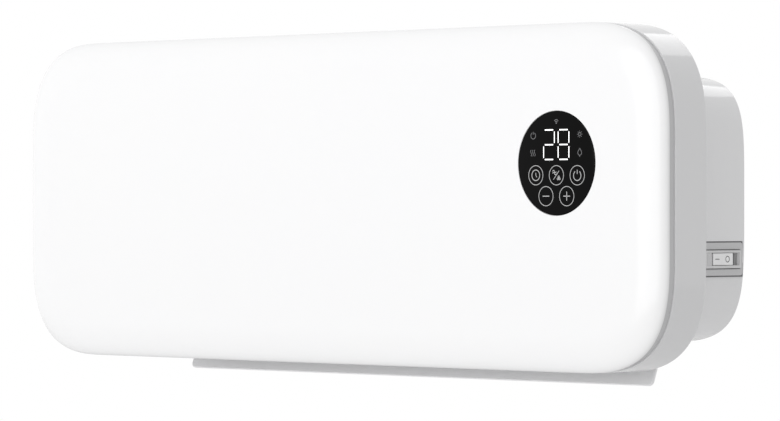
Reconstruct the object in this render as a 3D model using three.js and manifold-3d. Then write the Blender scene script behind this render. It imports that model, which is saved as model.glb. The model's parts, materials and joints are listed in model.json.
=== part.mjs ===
// A wall fan heater for a bathroom, in millimetres. X runs to the right as seen from the front,
// Y runs into the wall and Z runs up. The origin lies on the wall, behind the middle of the front panel.
import * as THREE from "three";
import { mergeVertices } from "three/addons/utils/BufferGeometryUtils.js";
import Module from "manifold-3d";

const wasm = await Module();
wasm.setup();

// ---- Driving dimensions: the casing ----
const PANEL_WIDTH = 658;
const PANEL_HEIGHT = 240;
const PANEL_CORNER = 82; // how far a soft corner reaches along each side
const PANEL_CORNER_POWER = 2.85; // 2 is a plain arc, more is squarer
const PILLOW_REACH = 26.5; // how far the curved edge of the front reaches inwards
const PILLOW_DEPTH = 9.3;
const SHELL_WALL = 2.4;
const STRIP_DEPTH = 5.9;
const STRIP_INSET = 1.2;
const BAND_DEPTH = 31.9;
const HOUSING_STEP = 7.4; // how far the band stands out past the housing at each side
const HOUSING_STEP_TOP = 35.5;
const HOUSING_STEP_BOTTOM = 19.4;
const HOUSING_DEPTH = 48.7;
const HOUSING_CORNER_TOP = 84;
const HOUSING_CORNER_BOTTOM = 99.5;
const HOUSING_CORNER_POWER = 4.5;
const WALL_GAP = 4;
const GAP = 0.3; // clearance between a piece and its seat
const FLANGE_REACH = 6; // how far the band's rear flange reaches in past the housing's outline

// ---- Driving dimensions: display ----
const LENS_DIAMETER = 71.4;
const LENS_THICKNESS = 2.2;
const LENS_FROM_SIDE = 94.5;
const LENS_Z = 23.7;
const BOARD_THICKNESS = 1.6;
const PAD_DIAMETER = 12;
const PAD_HEIGHT = 3.3;
const KEY_PITCH = 19.3;
const KEY_ROW_UPPER = -8.2; // height of the upper keys from the lens centre
const KEY_ROW_LOWER = -22.5;
const DIGITS_WIDTH = 30;
const DIGITS_HEIGHT = 26;
const DIGITS_RISE = 12.5;

// ---- Driving dimensions: mains switch on the right side ----
const SWITCH_Z = -41.9;
const SWITCH_PLATE_MARGIN = 2.65; // housing left before and behind the plate
const SWITCH_PLATE_GROOVE = 0.6;
const SWITCH_PLATE_HEIGHT = 23.6;
const SWITCH_PLATE_THICKNESS = 1.6;
const BEZEL_LENGTH = 37.3;
const BEZEL_HEIGHT = 13;
const BEZEL_THICKNESS = 1.4;
const PADDLE_LENGTH = 18.4;
const PADDLE_HEIGHT = 8.1;
const PADDLE_SHIFT = 0.9; // from the switch's middle towards the front
const PADDLE_RISE = 4.9; // from the pivot to the middle of the paddle's face
const PADDLE_TILT = 7; // degrees each way from level
const SWITCH_DEPTH = 22;

// ---- Driving dimensions: air path ----
const FAN_RADIUS = 26;
const FAN_FROM_BACK = 35.6;
const FAN_RISE = 112.2; // height of the fan's axis above the underside
const FAN_END_GAP = 4.4;
const FAN_BLADES = 16;
const FAN_CLEARANCE = 2.5;
const SHAFT_RADIUS = 4;
const SHEET = 2;
const DUCT_INSET = 4.2; // from the housing's front rim to the duct
const DUCT_END_INSET = 5; // from each end of the flap to the duct
const DUCT_RISE = 12.2;
const HEATER_HEIGHT = 24;
const HEATER_RISE = 34.2;
const FIN_PITCH = 16;
const FIN_THICKNESS = 1;
const GRILLE_HEIGHT = 5;
const GRILLE_BARS = 4; // along the outlet
const GRILLE_PITCH = 110; // between the ribs that cross the bars
const SLOT_WIDTH = 4;
const SLOT_PITCH = 14;
const SLOT_LENGTH = 32;

// ---- Driving dimensions: outlet flap ----
const FLAP_MARGIN_LEFT = 99.8; // from the housing's left side, where the fan motor is
const FLAP_MARGIN_RIGHT = 68.7;
const FLAP_FROM_BACK = 5; // from the back wall's inner face to the hinge axis
const FLAP_AXIS_RISE = 4.3;
const FLAP_LAND = 5.6; // housing left in front of the shut flap
const FLAP_DROP = 3.1; // from the hinge axis to the middle of the closed leaf
const FLAP_THICKNESS = 2.2;
const FLAP_OPEN = 68.5; // degrees from closed, as it stands in use
const FLAP_CLEARANCE = 0.6;
const PIN_RADIUS = 1.3;
const PIN_LENGTH = 5;
const PIN_CLEARANCE = 0.1;

// ---- Driving dimensions: motors, fixings and wall bracket ----
const MOTOR_RADIUS = 24;
const MOTOR_LENGTH = 45;
const ROTOR_RADIUS = 14;
const BRACKET_WIDTH = 380;
const BRACKET_HEIGHT = 74;
const BRACKET_BOTTOM = -12;
const BRACKET_SHEET = 2;
const HOOK_SPACING = 300;
const HOOK_WIDTH = 20;
const HOOK_Z = 40;
const HOOK_LIP = 8;
const LIFT = 12; // travel that frees the casing from its hooks
const BOSS_RADIUS = 5.5;
const SCREW_RADIUS = 1.5;
const SCREW_HEAD = 3.1;
const FOOT_RADIUS = 8;

// ---- Stations through the depth, from the wall to the face ----
const HOUSING_SIDE = PANEL_WIDTH / 2 - HOUSING_STEP;
const HOUSING_TOP = PANEL_HEIGHT / 2 - HOUSING_STEP_TOP;
const HOUSING_BOTTOM = HOUSING_STEP_BOTTOM - PANEL_HEIGHT / 2;
// The soft corners are held to what fits between the housing's top and its underside.
const CORNER_SHARE = 0.98; // of that height, so that a short straight stretch stays
const cornerRoom = (HOUSING_TOP - HOUSING_BOTTOM) / (HOUSING_CORNER_TOP + HOUSING_CORNER_BOTTOM);
const cornerFit = Math.min(1, CORNER_SHARE * cornerRoom);
const HOUSING_REAR = -WALL_GAP;
const HOUSING_FRONT = HOUSING_REAR - HOUSING_DEPTH;
const BAND_FRONT = HOUSING_FRONT - BAND_DEPTH;
const PANEL_RIM = BAND_FRONT - STRIP_DEPTH;
const PANEL_FACE = PANEL_RIM - PILLOW_DEPTH;
const BACK_WALL = HOUSING_REAR - SHELL_WALL; // inner face of the housing's back
const FLOOR = HOUSING_BOTTOM + SHELL_WALL; // inner face of the housing's underside

// ---- Places that follow from the sizes above ----
const LENS_X = PANEL_WIDTH / 2 - LENS_FROM_SIDE;
const SWITCH_Y = (HOUSING_FRONT + HOUSING_REAR) / 2 + 0.25;
const SWITCH_PLATE_LENGTH = HOUSING_DEPTH - 2 * SWITCH_PLATE_MARGIN;
const FLAP_LEFT = FLAP_MARGIN_LEFT - HOUSING_SIDE;
const FLAP_RIGHT = HOUSING_SIDE - FLAP_MARGIN_RIGHT;
const FLAP_AXIS_Y = BACK_WALL - FLAP_FROM_BACK;
const FLAP_AXIS_Z = HOUSING_BOTTOM + FLAP_AXIS_RISE;
const FLAP_LENGTH = FLAP_AXIS_Y - HOUSING_FRONT - FLAP_LAND;
const FAN_Y = BACK_WALL - FAN_FROM_BACK;
const FAN_Z = HOUSING_BOTTOM + FAN_RISE;
const DUCT_FRONT = HOUSING_FRONT + DUCT_INSET;
const DUCT_REAR = FAN_Y + FAN_RADIUS + FAN_CLEARANCE;
const DUCT_BOTTOM = HOUSING_BOTTOM + DUCT_RISE;
const HEATER_TOP = HOUSING_BOTTOM + HEATER_RISE + HEATER_HEIGHT;

const CORNER_STEPS = 10;
const ROUND = 24;
const SMALL_ROUND = 16;

// ---- Materials ----
function finish(color, roughness, metalness = 0) {
  return () => new THREE.MeshStandardMaterial({ color, roughness, metalness });
}
const whiteGloss = finish(0xf4f4f4, 0.25);
const paleSatin = finish(0xe2e3e4, 0.45);
const paleGrey = finish(0xc9cacb, 0.5);
const blackGlass = finish(0x141416, 0.12);
const steel = finish(0xb8bcc0, 0.4, 1);
const aluminium = finish(0xd0d2d4, 0.35, 1);
const darkPlastic = finish(0x2b2c2e, 0.6);
const boardGreen = finish(0x2f6b47, 0.6);
const rubber = finish(0x3a3a3c, 0.9);
const ceramic = finish(0xded8c8, 0.7);
const paleLed = finish(0xe8e8ea, 0.5);

// ---- Solids ----
function solid(geometry) {
  geometry.deleteAttribute("normal");
  geometry.deleteAttribute("uv");
  const merged = mergeVertices(geometry, 1e-4);
  return new wasm.Manifold(
    new wasm.Mesh({
      numProp: 3,
      vertProperties: new Float32Array(merged.attributes.position.array),
      triVerts: new Uint32Array(merged.index.array),
    }),
  );
}

function box(x0, x1, y0, y1, z0, z1) {
  const block = new THREE.BoxGeometry(x1 - x0, y1 - y0, z1 - z0);
  return solid(block.translate((x0 + x1) / 2, (y0 + y1) / 2, (z0 + z1) / 2));
}

function cylinderX(radius, x0, x1, y, z, sides = ROUND) {
  const rod = new THREE.CylinderGeometry(radius, radius, x1 - x0, sides);
  return solid(rod.rotateZ(-Math.PI / 2).translate((x0 + x1) / 2, y, z));
}

function cylinderY(radius, y0, y1, x, z, sides = ROUND) {
  const rod = new THREE.CylinderGeometry(radius, radius, y1 - y0, sides);
  return solid(rod.translate(x, (y0 + y1) / 2, z));
}

function cylinderZ(radius, z0, z1, x, y, sides = ROUND) {
  const rod = new THREE.CylinderGeometry(radius, radius, z1 - z0, sides);
  return solid(rod.rotateX(Math.PI / 2).translate(x, y, (z0 + z1) / 2));
}

// An outline in X and Z, carried along Y from y0 to y1.
function prismY(outline, y0, y1) {
  const slab = new THREE.ExtrudeGeometry(new THREE.Shape(outline), { depth: y1 - y0, bevelEnabled: false });
  return solid(slab.rotateX(Math.PI / 2).translate(0, y1, 0));
}

// A profile in Y and Z, carried along X from x0 to x1.
function prismX(profile, x0, x1) {
  const shape = new THREE.Shape(profile.map(([y, z]) => new THREE.Vector2(y, z)));
  const bar = new THREE.ExtrudeGeometry(shape, { depth: x1 - x0, bevelEnabled: false });
  const turn = new THREE.Matrix4().set(0, 0, 1, x0, 1, 0, 0, 0, 0, 1, 0, 0, 0, 0, 0, 1);
  return solid(bar.applyMatrix4(turn));
}

function joined(pieces) {
  return pieces.reduce((whole, piece) => whole.add(piece));
}

// A rectangle whose corners swell gradually: each is a quarter of a superellipse.
function softOutline(left, right, bottom, top, cornerTop, cornerBottom, power, steps = CORNER_STEPS) {
  const reaches = [cornerTop, cornerTop, cornerBottom, cornerBottom];
  const points = [];
  reaches.forEach((reach, quarter) => {
    const centreX = quarter === 0 || quarter === 3 ? right - reach : left + reach;
    const centreZ = quarter < 2 ? top - reach : bottom + reach;
    const angle = (quarter * Math.PI) / 2;
    for (let step = 0; step <= steps; step += 1) {
      const t = ((step / steps) * Math.PI) / 2;
      const along = reach * Math.max(0, Math.cos(t)) ** (2 / power);
      const up = reach * Math.max(0, Math.sin(t)) ** (2 / power);
      const x = centreX + along * Math.cos(angle) - up * Math.sin(angle);
      const z = centreZ + along * Math.sin(angle) + up * Math.cos(angle);
      points.push(new THREE.Vector2(x, z));
    }
  });
  return points;
}

function panelOutline(inset) {
  const halfWidth = PANEL_WIDTH / 2 - inset;
  const halfHeight = PANEL_HEIGHT / 2 - inset;
  const corner = PANEL_CORNER - inset;
  return softOutline(-halfWidth, halfWidth, -halfHeight, halfHeight, corner, corner, PANEL_CORNER_POWER);
}

function housingOutline(inset) {
  const side = HOUSING_SIDE - inset;
  const bottom = HOUSING_BOTTOM + inset;
  const top = HOUSING_TOP - inset;
  const cornerTop = HOUSING_CORNER_TOP * cornerFit - inset;
  const cornerBottom = HOUSING_CORNER_BOTTOM * cornerFit - inset;
  return softOutline(-side, side, bottom, top, cornerTop, cornerBottom, HOUSING_CORNER_POWER);
}

const heater = new THREE.Group();
function part(name, shape, material, parent = heater) {
  const surface = shape.getMesh();
  const geometry = new THREE.BufferGeometry();
  geometry.setAttribute("position", new THREE.BufferAttribute(surface.vertProperties, 3));
  geometry.setIndex(new THREE.BufferAttribute(surface.triVerts, 1));
  geometry.computeVertexNormals();
  const mesh = new THREE.Mesh(geometry, material());
  mesh.name = name;
  parent.add(mesh);
  return mesh;
}

// ---- Wall bracket: a steel sheet with two upturned hooks that carry the casing ----
const hookXs = [-HOOK_SPACING / 2, HOOK_SPACING / 2];
const hookFront = BACK_WALL - 0.5 - BRACKET_SHEET;
const WALL_SCREW_SPACING = 200;
const WALL_SCREW_RADIUS = 2.75;
const bracketTop = BRACKET_BOTTOM + BRACKET_HEIGHT;
const bracketHalf = BRACKET_WIDTH / 2;
let bracket = box(-bracketHalf, bracketHalf, -BRACKET_SHEET, 0, BRACKET_BOTTOM, bracketTop);
for (const x of hookXs) {
  const left = x - HOOK_WIDTH / 2;
  const right = x + HOOK_WIDTH / 2;
  const hookTop = HOOK_Z + BRACKET_SHEET;
  bracket = bracket.add(box(left, right, hookFront, -BRACKET_SHEET / 2, HOOK_Z, hookTop));
  bracket = bracket.add(box(left, right, hookFront, hookFront + BRACKET_SHEET, HOOK_Z, hookTop + HOOK_LIP));
}
for (const x of [-WALL_SCREW_SPACING / 2, WALL_SCREW_SPACING / 2]) {
  bracket = bracket.subtract(cylinderY(WALL_SCREW_RADIUS, -2 * BRACKET_SHEET, 1, x, HOOK_Z));
}
part("wall_bracket", bracket, steel);

// ---- Case screws and their bosses ----
const screwPlaces = [
  [-(HOUSING_SIDE - 11), HOUSING_TOP - 36],
  [HOUSING_SIDE - 11, HOUSING_TOP - 36],
  [-(HOUSING_SIDE - 13), HOUSING_BOTTOM + 34],
  [HOUSING_SIDE - 13, HOUSING_BOTTOM + 34],
];
const SCREW_SEAT = 6.7; // thickness left under each screw head
const SCREW_BITE = 11; // depth of the band's screw posts
const seatY = HOUSING_FRONT + SCREW_SEAT;
const flangeFront = HOUSING_FRONT - SHELL_WALL;
const postFront = flangeFront - SCREW_BITE;

// ---- Switch places: the plate lies in a shallow pocket in the side wall ----
const pocketX = HOUSING_SIDE - 1.4;
const plateFace = pocketX + SWITCH_PLATE_THICKNESS;
const bezelFace = plateFace + BEZEL_THICKNESS;
const pivotX = bezelFace - 0.2 - PADDLE_RISE;
const BODY_SLACK = 0.2; // between the switch body and the hole that it snaps into
const bodyHalfLength = BEZEL_LENGTH / 2 - 1.2;
const bodyHalfHeight = BEZEL_HEIGHT / 2 - 0.7;
const plateShape = (grow) => [
  SWITCH_Y - SWITCH_PLATE_LENGTH / 2 - grow,
  SWITCH_Y + SWITCH_PLATE_LENGTH / 2 + grow,
  SWITCH_Z - SWITCH_PLATE_HEIGHT / 2 - grow,
  SWITCH_Z + SWITCH_PLATE_HEIGHT / 2 + grow,
];
const bodyShape = (grow) => [
  SWITCH_Y - bodyHalfLength - grow,
  SWITCH_Y + bodyHalfLength + grow,
  SWITCH_Z - bodyHalfHeight - grow,
  SWITCH_Z + bodyHalfHeight + grow,
];

// ---- Flap and outlet places ----
const outletLeft = FLAP_LEFT - FLAP_CLEARANCE;
const outletRight = FLAP_RIGHT + FLAP_CLEARANCE;
const outletFront = FLAP_AXIS_Y - FLAP_LENGTH - FLAP_CLEARANCE;
const BARREL_RADIUS = 2.6;
const heelReach = Math.max(BARREL_RADIUS, FLAP_DROP + FLAP_THICKNESS / 2);
const outletRear = FLAP_AXIS_Y + heelReach + FLAP_CLEARANCE;

// ---- Rear housing: top inlet slots, bottom outlet, hook slots and screw bosses ----
const GLAND_X = 60 - HOUSING_SIDE;
const GLAND_Y = HOUSING_REAR - 20;
const GLAND_RADIUS = 6;
let housing = prismY(housingOutline(0), HOUSING_FRONT, HOUSING_REAR);
housing = housing.subtract(prismY(housingOutline(SHELL_WALL), HOUSING_FRONT - 1, BACK_WALL));
for (const [x, z] of screwPlaces) {
  const boss = cylinderY(BOSS_RADIUS, HOUSING_FRONT, BACK_WALL + 1, x, z);
  housing = housing.add(boss.intersect(prismY(housingOutline(1), HOUSING_FRONT, BACK_WALL + 1)));
  housing = housing.subtract(cylinderY(SCREW_HEAD + GAP, seatY, HOUSING_REAR + 1, x, z));
  housing = housing.subtract(cylinderY(SCREW_RADIUS + GAP, HOUSING_FRONT - 1, seatY + 1, x, z));
}
const slotRear = DUCT_REAR;
const slotCount = Math.floor((FLAP_RIGHT - FLAP_LEFT - 20) / SLOT_PITCH);
for (let i = 0; i < slotCount; i += 1) {
  const x = FLAP_LEFT + 14 + i * SLOT_PITCH;
  const top = HOUSING_TOP;
  housing = housing.subtract(box(x, x + SLOT_WIDTH, slotRear - SLOT_LENGTH, slotRear, top - 6, top + 1));
}
housing = housing.subtract(
  box(outletLeft, outletRight, outletFront, outletRear, HOUSING_BOTTOM - 1, FLOOR + 1),
);
for (const x of hookXs) {
  const left = x - HOOK_WIDTH / 2 - 1;
  const right = x + HOOK_WIDTH / 2 + 1;
  const slotTop = HOOK_Z + BRACKET_SHEET;
  housing = housing.subtract(
    box(left, right, BACK_WALL - 1, HOUSING_REAR + 1, HOOK_Z - LIFT - 1, slotTop),
  );
}
housing = housing.subtract(
  cylinderZ(GLAND_RADIUS + GAP, HOUSING_BOTTOM - 1, FLOOR + 1, GLAND_X, GLAND_Y),
);
housing = housing.subtract(box(pocketX, HOUSING_SIDE + 1, ...plateShape(SWITCH_PLATE_GROOVE)));
housing = housing.subtract(box(pocketX - 4, HOUSING_SIDE + 1, ...bodyShape(BODY_SLACK)));
part("rear_housing", housing, paleSatin);

// ---- Side band: a deep ring with a rear flange that the housing is screwed to ----
let band = prismY(panelOutline(0), BAND_FRONT, HOUSING_FRONT);
band = band.subtract(prismY(panelOutline(SHELL_WALL), BAND_FRONT - 1, flangeFront));
band = band.subtract(prismY(housingOutline(FLANGE_REACH), flangeFront - 1, HOUSING_FRONT + 1));
for (const [x, z] of screwPlaces) {
  band = band.add(cylinderY(BOSS_RADIUS, flangeFront, HOUSING_FRONT, x, z));
  const root = Math.sign(x) * (HOUSING_SIDE - 2);
  const webHalf = BOSS_RADIUS - 1;
  const web = [Math.min(x, root), Math.max(x, root), flangeFront, HOUSING_FRONT, z - webHalf, z + webHalf];
  band = band.add(box(...web));
  band = band.add(cylinderY(BOSS_RADIUS - 1, postFront, flangeFront + 1, x, z));
  band = band.subtract(cylinderY(SCREW_RADIUS + 0.05, postFront - 1, HOUSING_FRONT + 1, x, z));
}
part("side_band", band, paleSatin);

const screwTip = postFront + 1;
screwPlaces.forEach(([x, z], index) => {
  const head = cylinderY(SCREW_HEAD, seatY, seatY + 2.4, x, z, SMALL_ROUND);
  const shank = cylinderY(SCREW_RADIUS, screwTip, seatY + 1, x, z, SMALL_ROUND);
  const recess = joined([
    box(x - 0.5, x + 0.5, seatY + 1.2, seatY + 3, z - 1.9, z + 1.9),
    box(x - 1.9, x + 1.9, seatY + 1.2, seatY + 3, z - 0.5, z + 0.5),
  ]);
  part(`case_screw_${index + 1}`, head.add(shank).subtract(recess), steel);
});

// ---- Panel carrier: the inset tray that shows as a narrow strip behind the front ----
const HOLDER_WALL = 2;
const holderRadius = LENS_DIAMETER / 2 + GAP + HOLDER_WALL;
const CONTROL_BOARD_WIDTH = 170;
const CONTROL_BOARD_HEIGHT = 64;
const CONTROL_BOARD_FROM_SIDE = 139;
const CONTROL_BOARD_RISE = 20;
const CONTROL_BOARD = {
  left: CONTROL_BOARD_FROM_SIDE - PANEL_WIDTH / 2,
  right: CONTROL_BOARD_FROM_SIDE - PANEL_WIDTH / 2 + CONTROL_BOARD_WIDTH,
  bottom: CONTROL_BOARD_RISE - PANEL_HEIGHT / 2,
  top: CONTROL_BOARD_RISE - PANEL_HEIGHT / 2 + CONTROL_BOARD_HEIGHT,
};
const boardFront = BAND_FRONT + 5.6;
const boardRear = boardFront + BOARD_THICKNESS;
const POST_RADIUS = 3;
let carrier = prismY(panelOutline(STRIP_INSET), PANEL_RIM, BAND_FRONT);
carrier = carrier.subtract(
  prismY(panelOutline(STRIP_INSET + SHELL_WALL), PANEL_RIM - 1, BAND_FRONT - SHELL_WALL),
);
carrier = carrier.subtract(cylinderY(holderRadius + GAP, PANEL_RIM - 1, BAND_FRONT + 1, LENS_X, LENS_Z, 40));
for (const x of [CONTROL_BOARD.left + 8, CONTROL_BOARD.right - 8]) {
  for (const z of [CONTROL_BOARD.bottom + 8, CONTROL_BOARD.top - 8]) {
    carrier = carrier.add(cylinderY(POST_RADIUS, BAND_FRONT - 1, boardFront, x, z, SMALL_ROUND));
  }
}
part("panel_carrier", carrier, paleGrey);

// ---- Front panel: a pillow-edged shell with a round window ----
function pillow(inset) {
  const back = 2;
  const edge = new THREE.ExtrudeGeometry(new THREE.Shape(panelOutline(inset)), {
    depth: back,
    bevelThickness: PILLOW_DEPTH - inset,
    bevelSize: PILLOW_REACH - inset,
    bevelOffset: inset - PILLOW_REACH,
    bevelSegments: 7,
  });
  const whole = solid(edge.rotateX(Math.PI / 2).translate(0, PANEL_RIM + back, 0));
  const margin = PANEL_WIDTH;
  return whole.subtract(box(-margin, margin, PANEL_RIM, PANEL_RIM + margin, -margin, margin));
}
let panel = pillow(0).subtract(pillow(SHELL_WALL));
panel = panel.subtract(cylinderY(LENS_DIAMETER / 2 + GAP, PANEL_FACE - 1, PANEL_RIM, LENS_X, LENS_Z, 40));
part("front_panel", panel, whiteGloss);

// ---- Display: lens, cup, board, digits and touch pads ----
const lensBack = PANEL_FACE + LENS_THICKNESS;
const displayFront = lensBack + GAP + PAD_HEIGHT;
const displayRear = displayFront + BOARD_THICKNESS;
const cupRear = BAND_FRONT + 4.6;
part("display_lens", cylinderY(LENS_DIAMETER / 2, PANEL_FACE, lensBack, LENS_X, LENS_Z, 40), blackGlass);
const cupFront = PANEL_FACE + SHELL_WALL;
const cupBore = LENS_DIAMETER / 2 - 0.6;
const LEDGE = 3;
let cup = cylinderY(holderRadius, cupFront, cupRear, LENS_X, LENS_Z, 40);
cup = cup.subtract(cylinderY(cupBore, cupFront - 1, displayRear, LENS_X, LENS_Z, 40));
cup = cup.subtract(cylinderY(cupBore - LEDGE, cupFront, cupRear - HOLDER_WALL, LENS_X, LENS_Z, 40));
part("display_holder", cup, darkPlastic);
const board = cylinderY(cupBore - GAP, displayFront, displayRear, LENS_X, LENS_Z, 40);
part("display_board", board, boardGreen);
const digitsZ = LENS_Z + DIGITS_RISE;
part(
  "digit_module",
  box(
    LENS_X - DIGITS_WIDTH / 2,
    LENS_X + DIGITS_WIDTH / 2,
    lensBack + GAP,
    displayFront,
    digitsZ - DIGITS_HEIGHT / 2,
    digitsZ + DIGITS_HEIGHT / 2,
  ),
  paleLed,
);
const keys = {
  timer: [-KEY_PITCH, KEY_ROW_UPPER],
  mode: [0, KEY_ROW_UPPER],
  power: [KEY_PITCH, KEY_ROW_UPPER],
  minus: [-KEY_PITCH / 2, KEY_ROW_LOWER],
  plus: [KEY_PITCH / 2, KEY_ROW_LOWER],
};
for (const [key, [x, z]] of Object.entries(keys)) {
  const radius = PAD_DIAMETER / 2;
  const pad = cylinderY(radius, lensBack + GAP, displayFront, LENS_X + x, LENS_Z + z, SMALL_ROUND);
  part(`touch_pad_${key}`, pad, rubber);
}

// ---- Control electronics ----
const { left: boardLeft, right: boardRight, bottom: boardBottom, top: boardTop } = CONTROL_BOARD;
part("control_board", box(boardLeft, boardRight, boardFront, boardRear, boardBottom, boardTop), boardGreen);
const RELAY = { width: 19, depth: 15, height: 16 };
[0, 1].forEach((index) => {
  const left = boardLeft + 20 + index * (RELAY.width + 6);
  const bottom = boardBottom + 22;
  part(
    `relay_${index + 1}`,
    box(left, left + RELAY.width, boardRear, boardRear + RELAY.depth, bottom, bottom + RELAY.height),
    darkPlastic,
  );
});
const TRANSFORMER = { width: 30, depth: 19, height: 26 };
const transformerLeft = boardLeft + 80;
const transformerBottom = boardBottom + 18;
part(
  "transformer",
  box(
    transformerLeft,
    transformerLeft + TRANSFORMER.width,
    boardRear,
    boardRear + TRANSFORMER.depth,
    transformerBottom,
    transformerBottom + TRANSFORMER.height,
  ),
  darkPlastic,
);
const WIFI = { width: 24, depth: 3.2, height: 16 };
const wifiRight = boardRight - 12;
const wifiTop = boardTop - 14;
part(
  "radio_module",
  box(wifiRight - WIFI.width, wifiRight, boardRear, boardRear + WIFI.depth, wifiTop - WIFI.height, wifiTop),
  steel,
);
const TERMINAL = {
  left: 20 - HOUSING_SIDE,
  width: 34,
  depth: 14,
  bottom: HOUSING_BOTTOM + 28.2,
  height: 20,
};
let terminal = box(
  TERMINAL.left,
  TERMINAL.left + TERMINAL.width,
  BACK_WALL - TERMINAL.depth,
  BACK_WALL,
  TERMINAL.bottom,
  TERMINAL.bottom + TERMINAL.height,
);
for (const share of [1, 3, 5]) {
  const x = TERMINAL.left + (TERMINAL.width * share) / 6;
  const z = TERMINAL.bottom + TERMINAL.height / 2;
  terminal = terminal.subtract(
    cylinderY(2.4, BACK_WALL - TERMINAL.depth - 1, BACK_WALL - TERMINAL.depth / 2, x, z, SMALL_ROUND),
  );
}
part("terminal_block", terminal, ceramic);

// ---- Fan duct: scroll behind the fan, tongue in front of it, and the two end plates ----
const ductLeft = FLAP_LEFT + DUCT_END_INSET;
const ductRight = FLAP_RIGHT - DUCT_END_INSET;
const scrollRadius = FAN_RADIUS + FAN_CLEARANCE;
function arcPoints(radius, fromDegrees, toDegrees, steps) {
  const points = [];
  for (let i = 0; i <= steps; i += 1) {
    const angle = THREE.MathUtils.degToRad(fromDegrees + ((toDegrees - fromDegrees) * i) / steps);
    points.push([FAN_Y + radius * Math.cos(angle), FAN_Z + radius * Math.sin(angle)]);
  }
  return points;
}
const scrollProfile = [
  ...arcPoints(scrollRadius + SHEET, 0, 70, 8),
  ...arcPoints(scrollRadius, 70, 0, 8),
  [FAN_Y + scrollRadius, DUCT_BOTTOM],
  [FAN_Y + scrollRadius + SHEET, DUCT_BOTTOM],
];
const POST_SHARES = [0.04, 0.33, 0.58, 0.94];
let scroll = prismX(scrollProfile, ductLeft, ductRight);
for (const share of POST_SHARES) {
  const x = ductLeft + share * (ductRight - ductLeft);
  for (const z of [FAN_Z - 6, DUCT_BOTTOM + 18]) {
    scroll = scroll.add(cylinderY(4, FAN_Y + scrollRadius + SHEET / 2, BACK_WALL, x, z, SMALL_ROUND));
  }
}
part("scroll_casing", scroll, paleGrey);

const tongueY = FAN_Y + scrollRadius * Math.cos(THREE.MathUtils.degToRad(215));
const tongueZ = FAN_Z + scrollRadius * Math.sin(THREE.MathUtils.degToRad(215));
const throatZ = HEATER_TOP + 6;
const tongueProfile = [
  [tongueY, tongueZ],
  [DUCT_FRONT, throatZ],
  [DUCT_FRONT, DUCT_BOTTOM],
  [DUCT_FRONT - SHEET, DUCT_BOTTOM],
  [DUCT_FRONT - SHEET, throatZ - 1],
  [tongueY - SHEET, tongueZ - 1],
];
part("fan_tongue", prismX(tongueProfile, ductLeft, ductRight), paleGrey);

const endProfile = [
  [FAN_Y + scrollRadius + SHEET, DUCT_BOTTOM],
  [FAN_Y + scrollRadius + SHEET, FAN_Z + 24],
  [FAN_Y + 10, FAN_Z + scrollRadius + SHEET],
  [FAN_Y - 10, FAN_Z + scrollRadius + SHEET],
  [tongueY - SHEET, FAN_Z + 12],
  [tongueY - SHEET, tongueZ - 1],
  [DUCT_FRONT - SHEET, throatZ - 1],
  [DUCT_FRONT - SHEET, DUCT_BOTTOM],
];
const shaftBore = (x0, x1) => cylinderX(SHAFT_RADIUS + 1, x0 - 1, x1 + 1, FAN_Y, FAN_Z);
const endLeft = prismX(endProfile, ductLeft - SHEET, ductLeft);
part("duct_end_left", endLeft.subtract(shaftBore(ductLeft - SHEET, ductLeft)), paleGrey);
const endRight = prismX(endProfile, ductRight, ductRight + SHEET);
part("duct_end_right", endRight.subtract(shaftBore(ductRight, ductRight + SHEET)), paleGrey);

// ---- Crossflow fan: blades between discs, its shaft and the motor that turns it ----
const fanLeft = ductLeft + FAN_END_GAP;
const fanRight = ductRight - FAN_END_GAP;
const fanLength = fanRight - fanLeft;
const DISC = 3;
const BLADE_DEPTH = 7;
const BLADE_SHEET = 1.2;
const BLADE_LEAN = 35; // degrees from radial
const discShares = [0, 1 / 2, 1];
const discs = discShares.map((share) => {
  const x = fanLeft + share * (fanLength - DISC);
  return cylinderX(FAN_RADIUS - 0.5, x, x + DISC, FAN_Y, FAN_Z);
});
const bladeCentre = FAN_RADIUS - 1 - (BLADE_DEPTH / 2) * Math.cos(THREE.MathUtils.degToRad(BLADE_LEAN));
const blades = [];
for (let i = 0; i < FAN_BLADES; i += 1) {
  const blade = new THREE.BoxGeometry(fanLength - 2, BLADE_DEPTH, BLADE_SHEET);
  blade.rotateX(THREE.MathUtils.degToRad(BLADE_LEAN)).translate(0, bladeCentre, 0);
  blade.rotateX((i * 2 * Math.PI) / FAN_BLADES);
  blades.push(solid(blade.translate((fanLeft + fanRight) / 2, FAN_Y, FAN_Z)));
}
const wheelBore = cylinderX(SHAFT_RADIUS, fanLeft - 1, fanRight + 1, FAN_Y, FAN_Z);
part("fan_impeller", joined([...discs, ...blades]).subtract(wheelBore), darkPlastic);

const motorRight = ductLeft - SHEET - 4;
const motorLeft = motorRight - MOTOR_LENGTH;
const END_CAP = 2;
const bearingLeft = ductRight + SHEET;
const BEARING_LENGTH = 8;
const shaftLeft = motorLeft - 4;
const shaftRight = bearingLeft + BEARING_LENGTH;
const rotorLeft = motorLeft + END_CAP + 2;
const rotorRight = motorRight - END_CAP - 2;
part("impeller_shaft", cylinderX(SHAFT_RADIUS, shaftLeft, shaftRight, FAN_Y, FAN_Z), steel);
const rotor = cylinderX(ROTOR_RADIUS, rotorLeft, rotorRight, FAN_Y, FAN_Z);
part(
  "motor_rotor",
  rotor.subtract(cylinderX(SHAFT_RADIUS, rotorLeft - 1, rotorRight + 1, FAN_Y, FAN_Z)),
  steel,
);
const runningBore = SHAFT_RADIUS + 0.1;
let motor = cylinderX(MOTOR_RADIUS, motorLeft, motorRight, FAN_Y, FAN_Z);
motor = motor.subtract(
  cylinderX(ROTOR_RADIUS + 0.5, motorLeft + END_CAP, motorRight - END_CAP, FAN_Y, FAN_Z),
);
motor = motor.subtract(cylinderX(runningBore, motorLeft - 1, motorRight + 1, FAN_Y, FAN_Z));
part("fan_motor", motor, steel);
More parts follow.
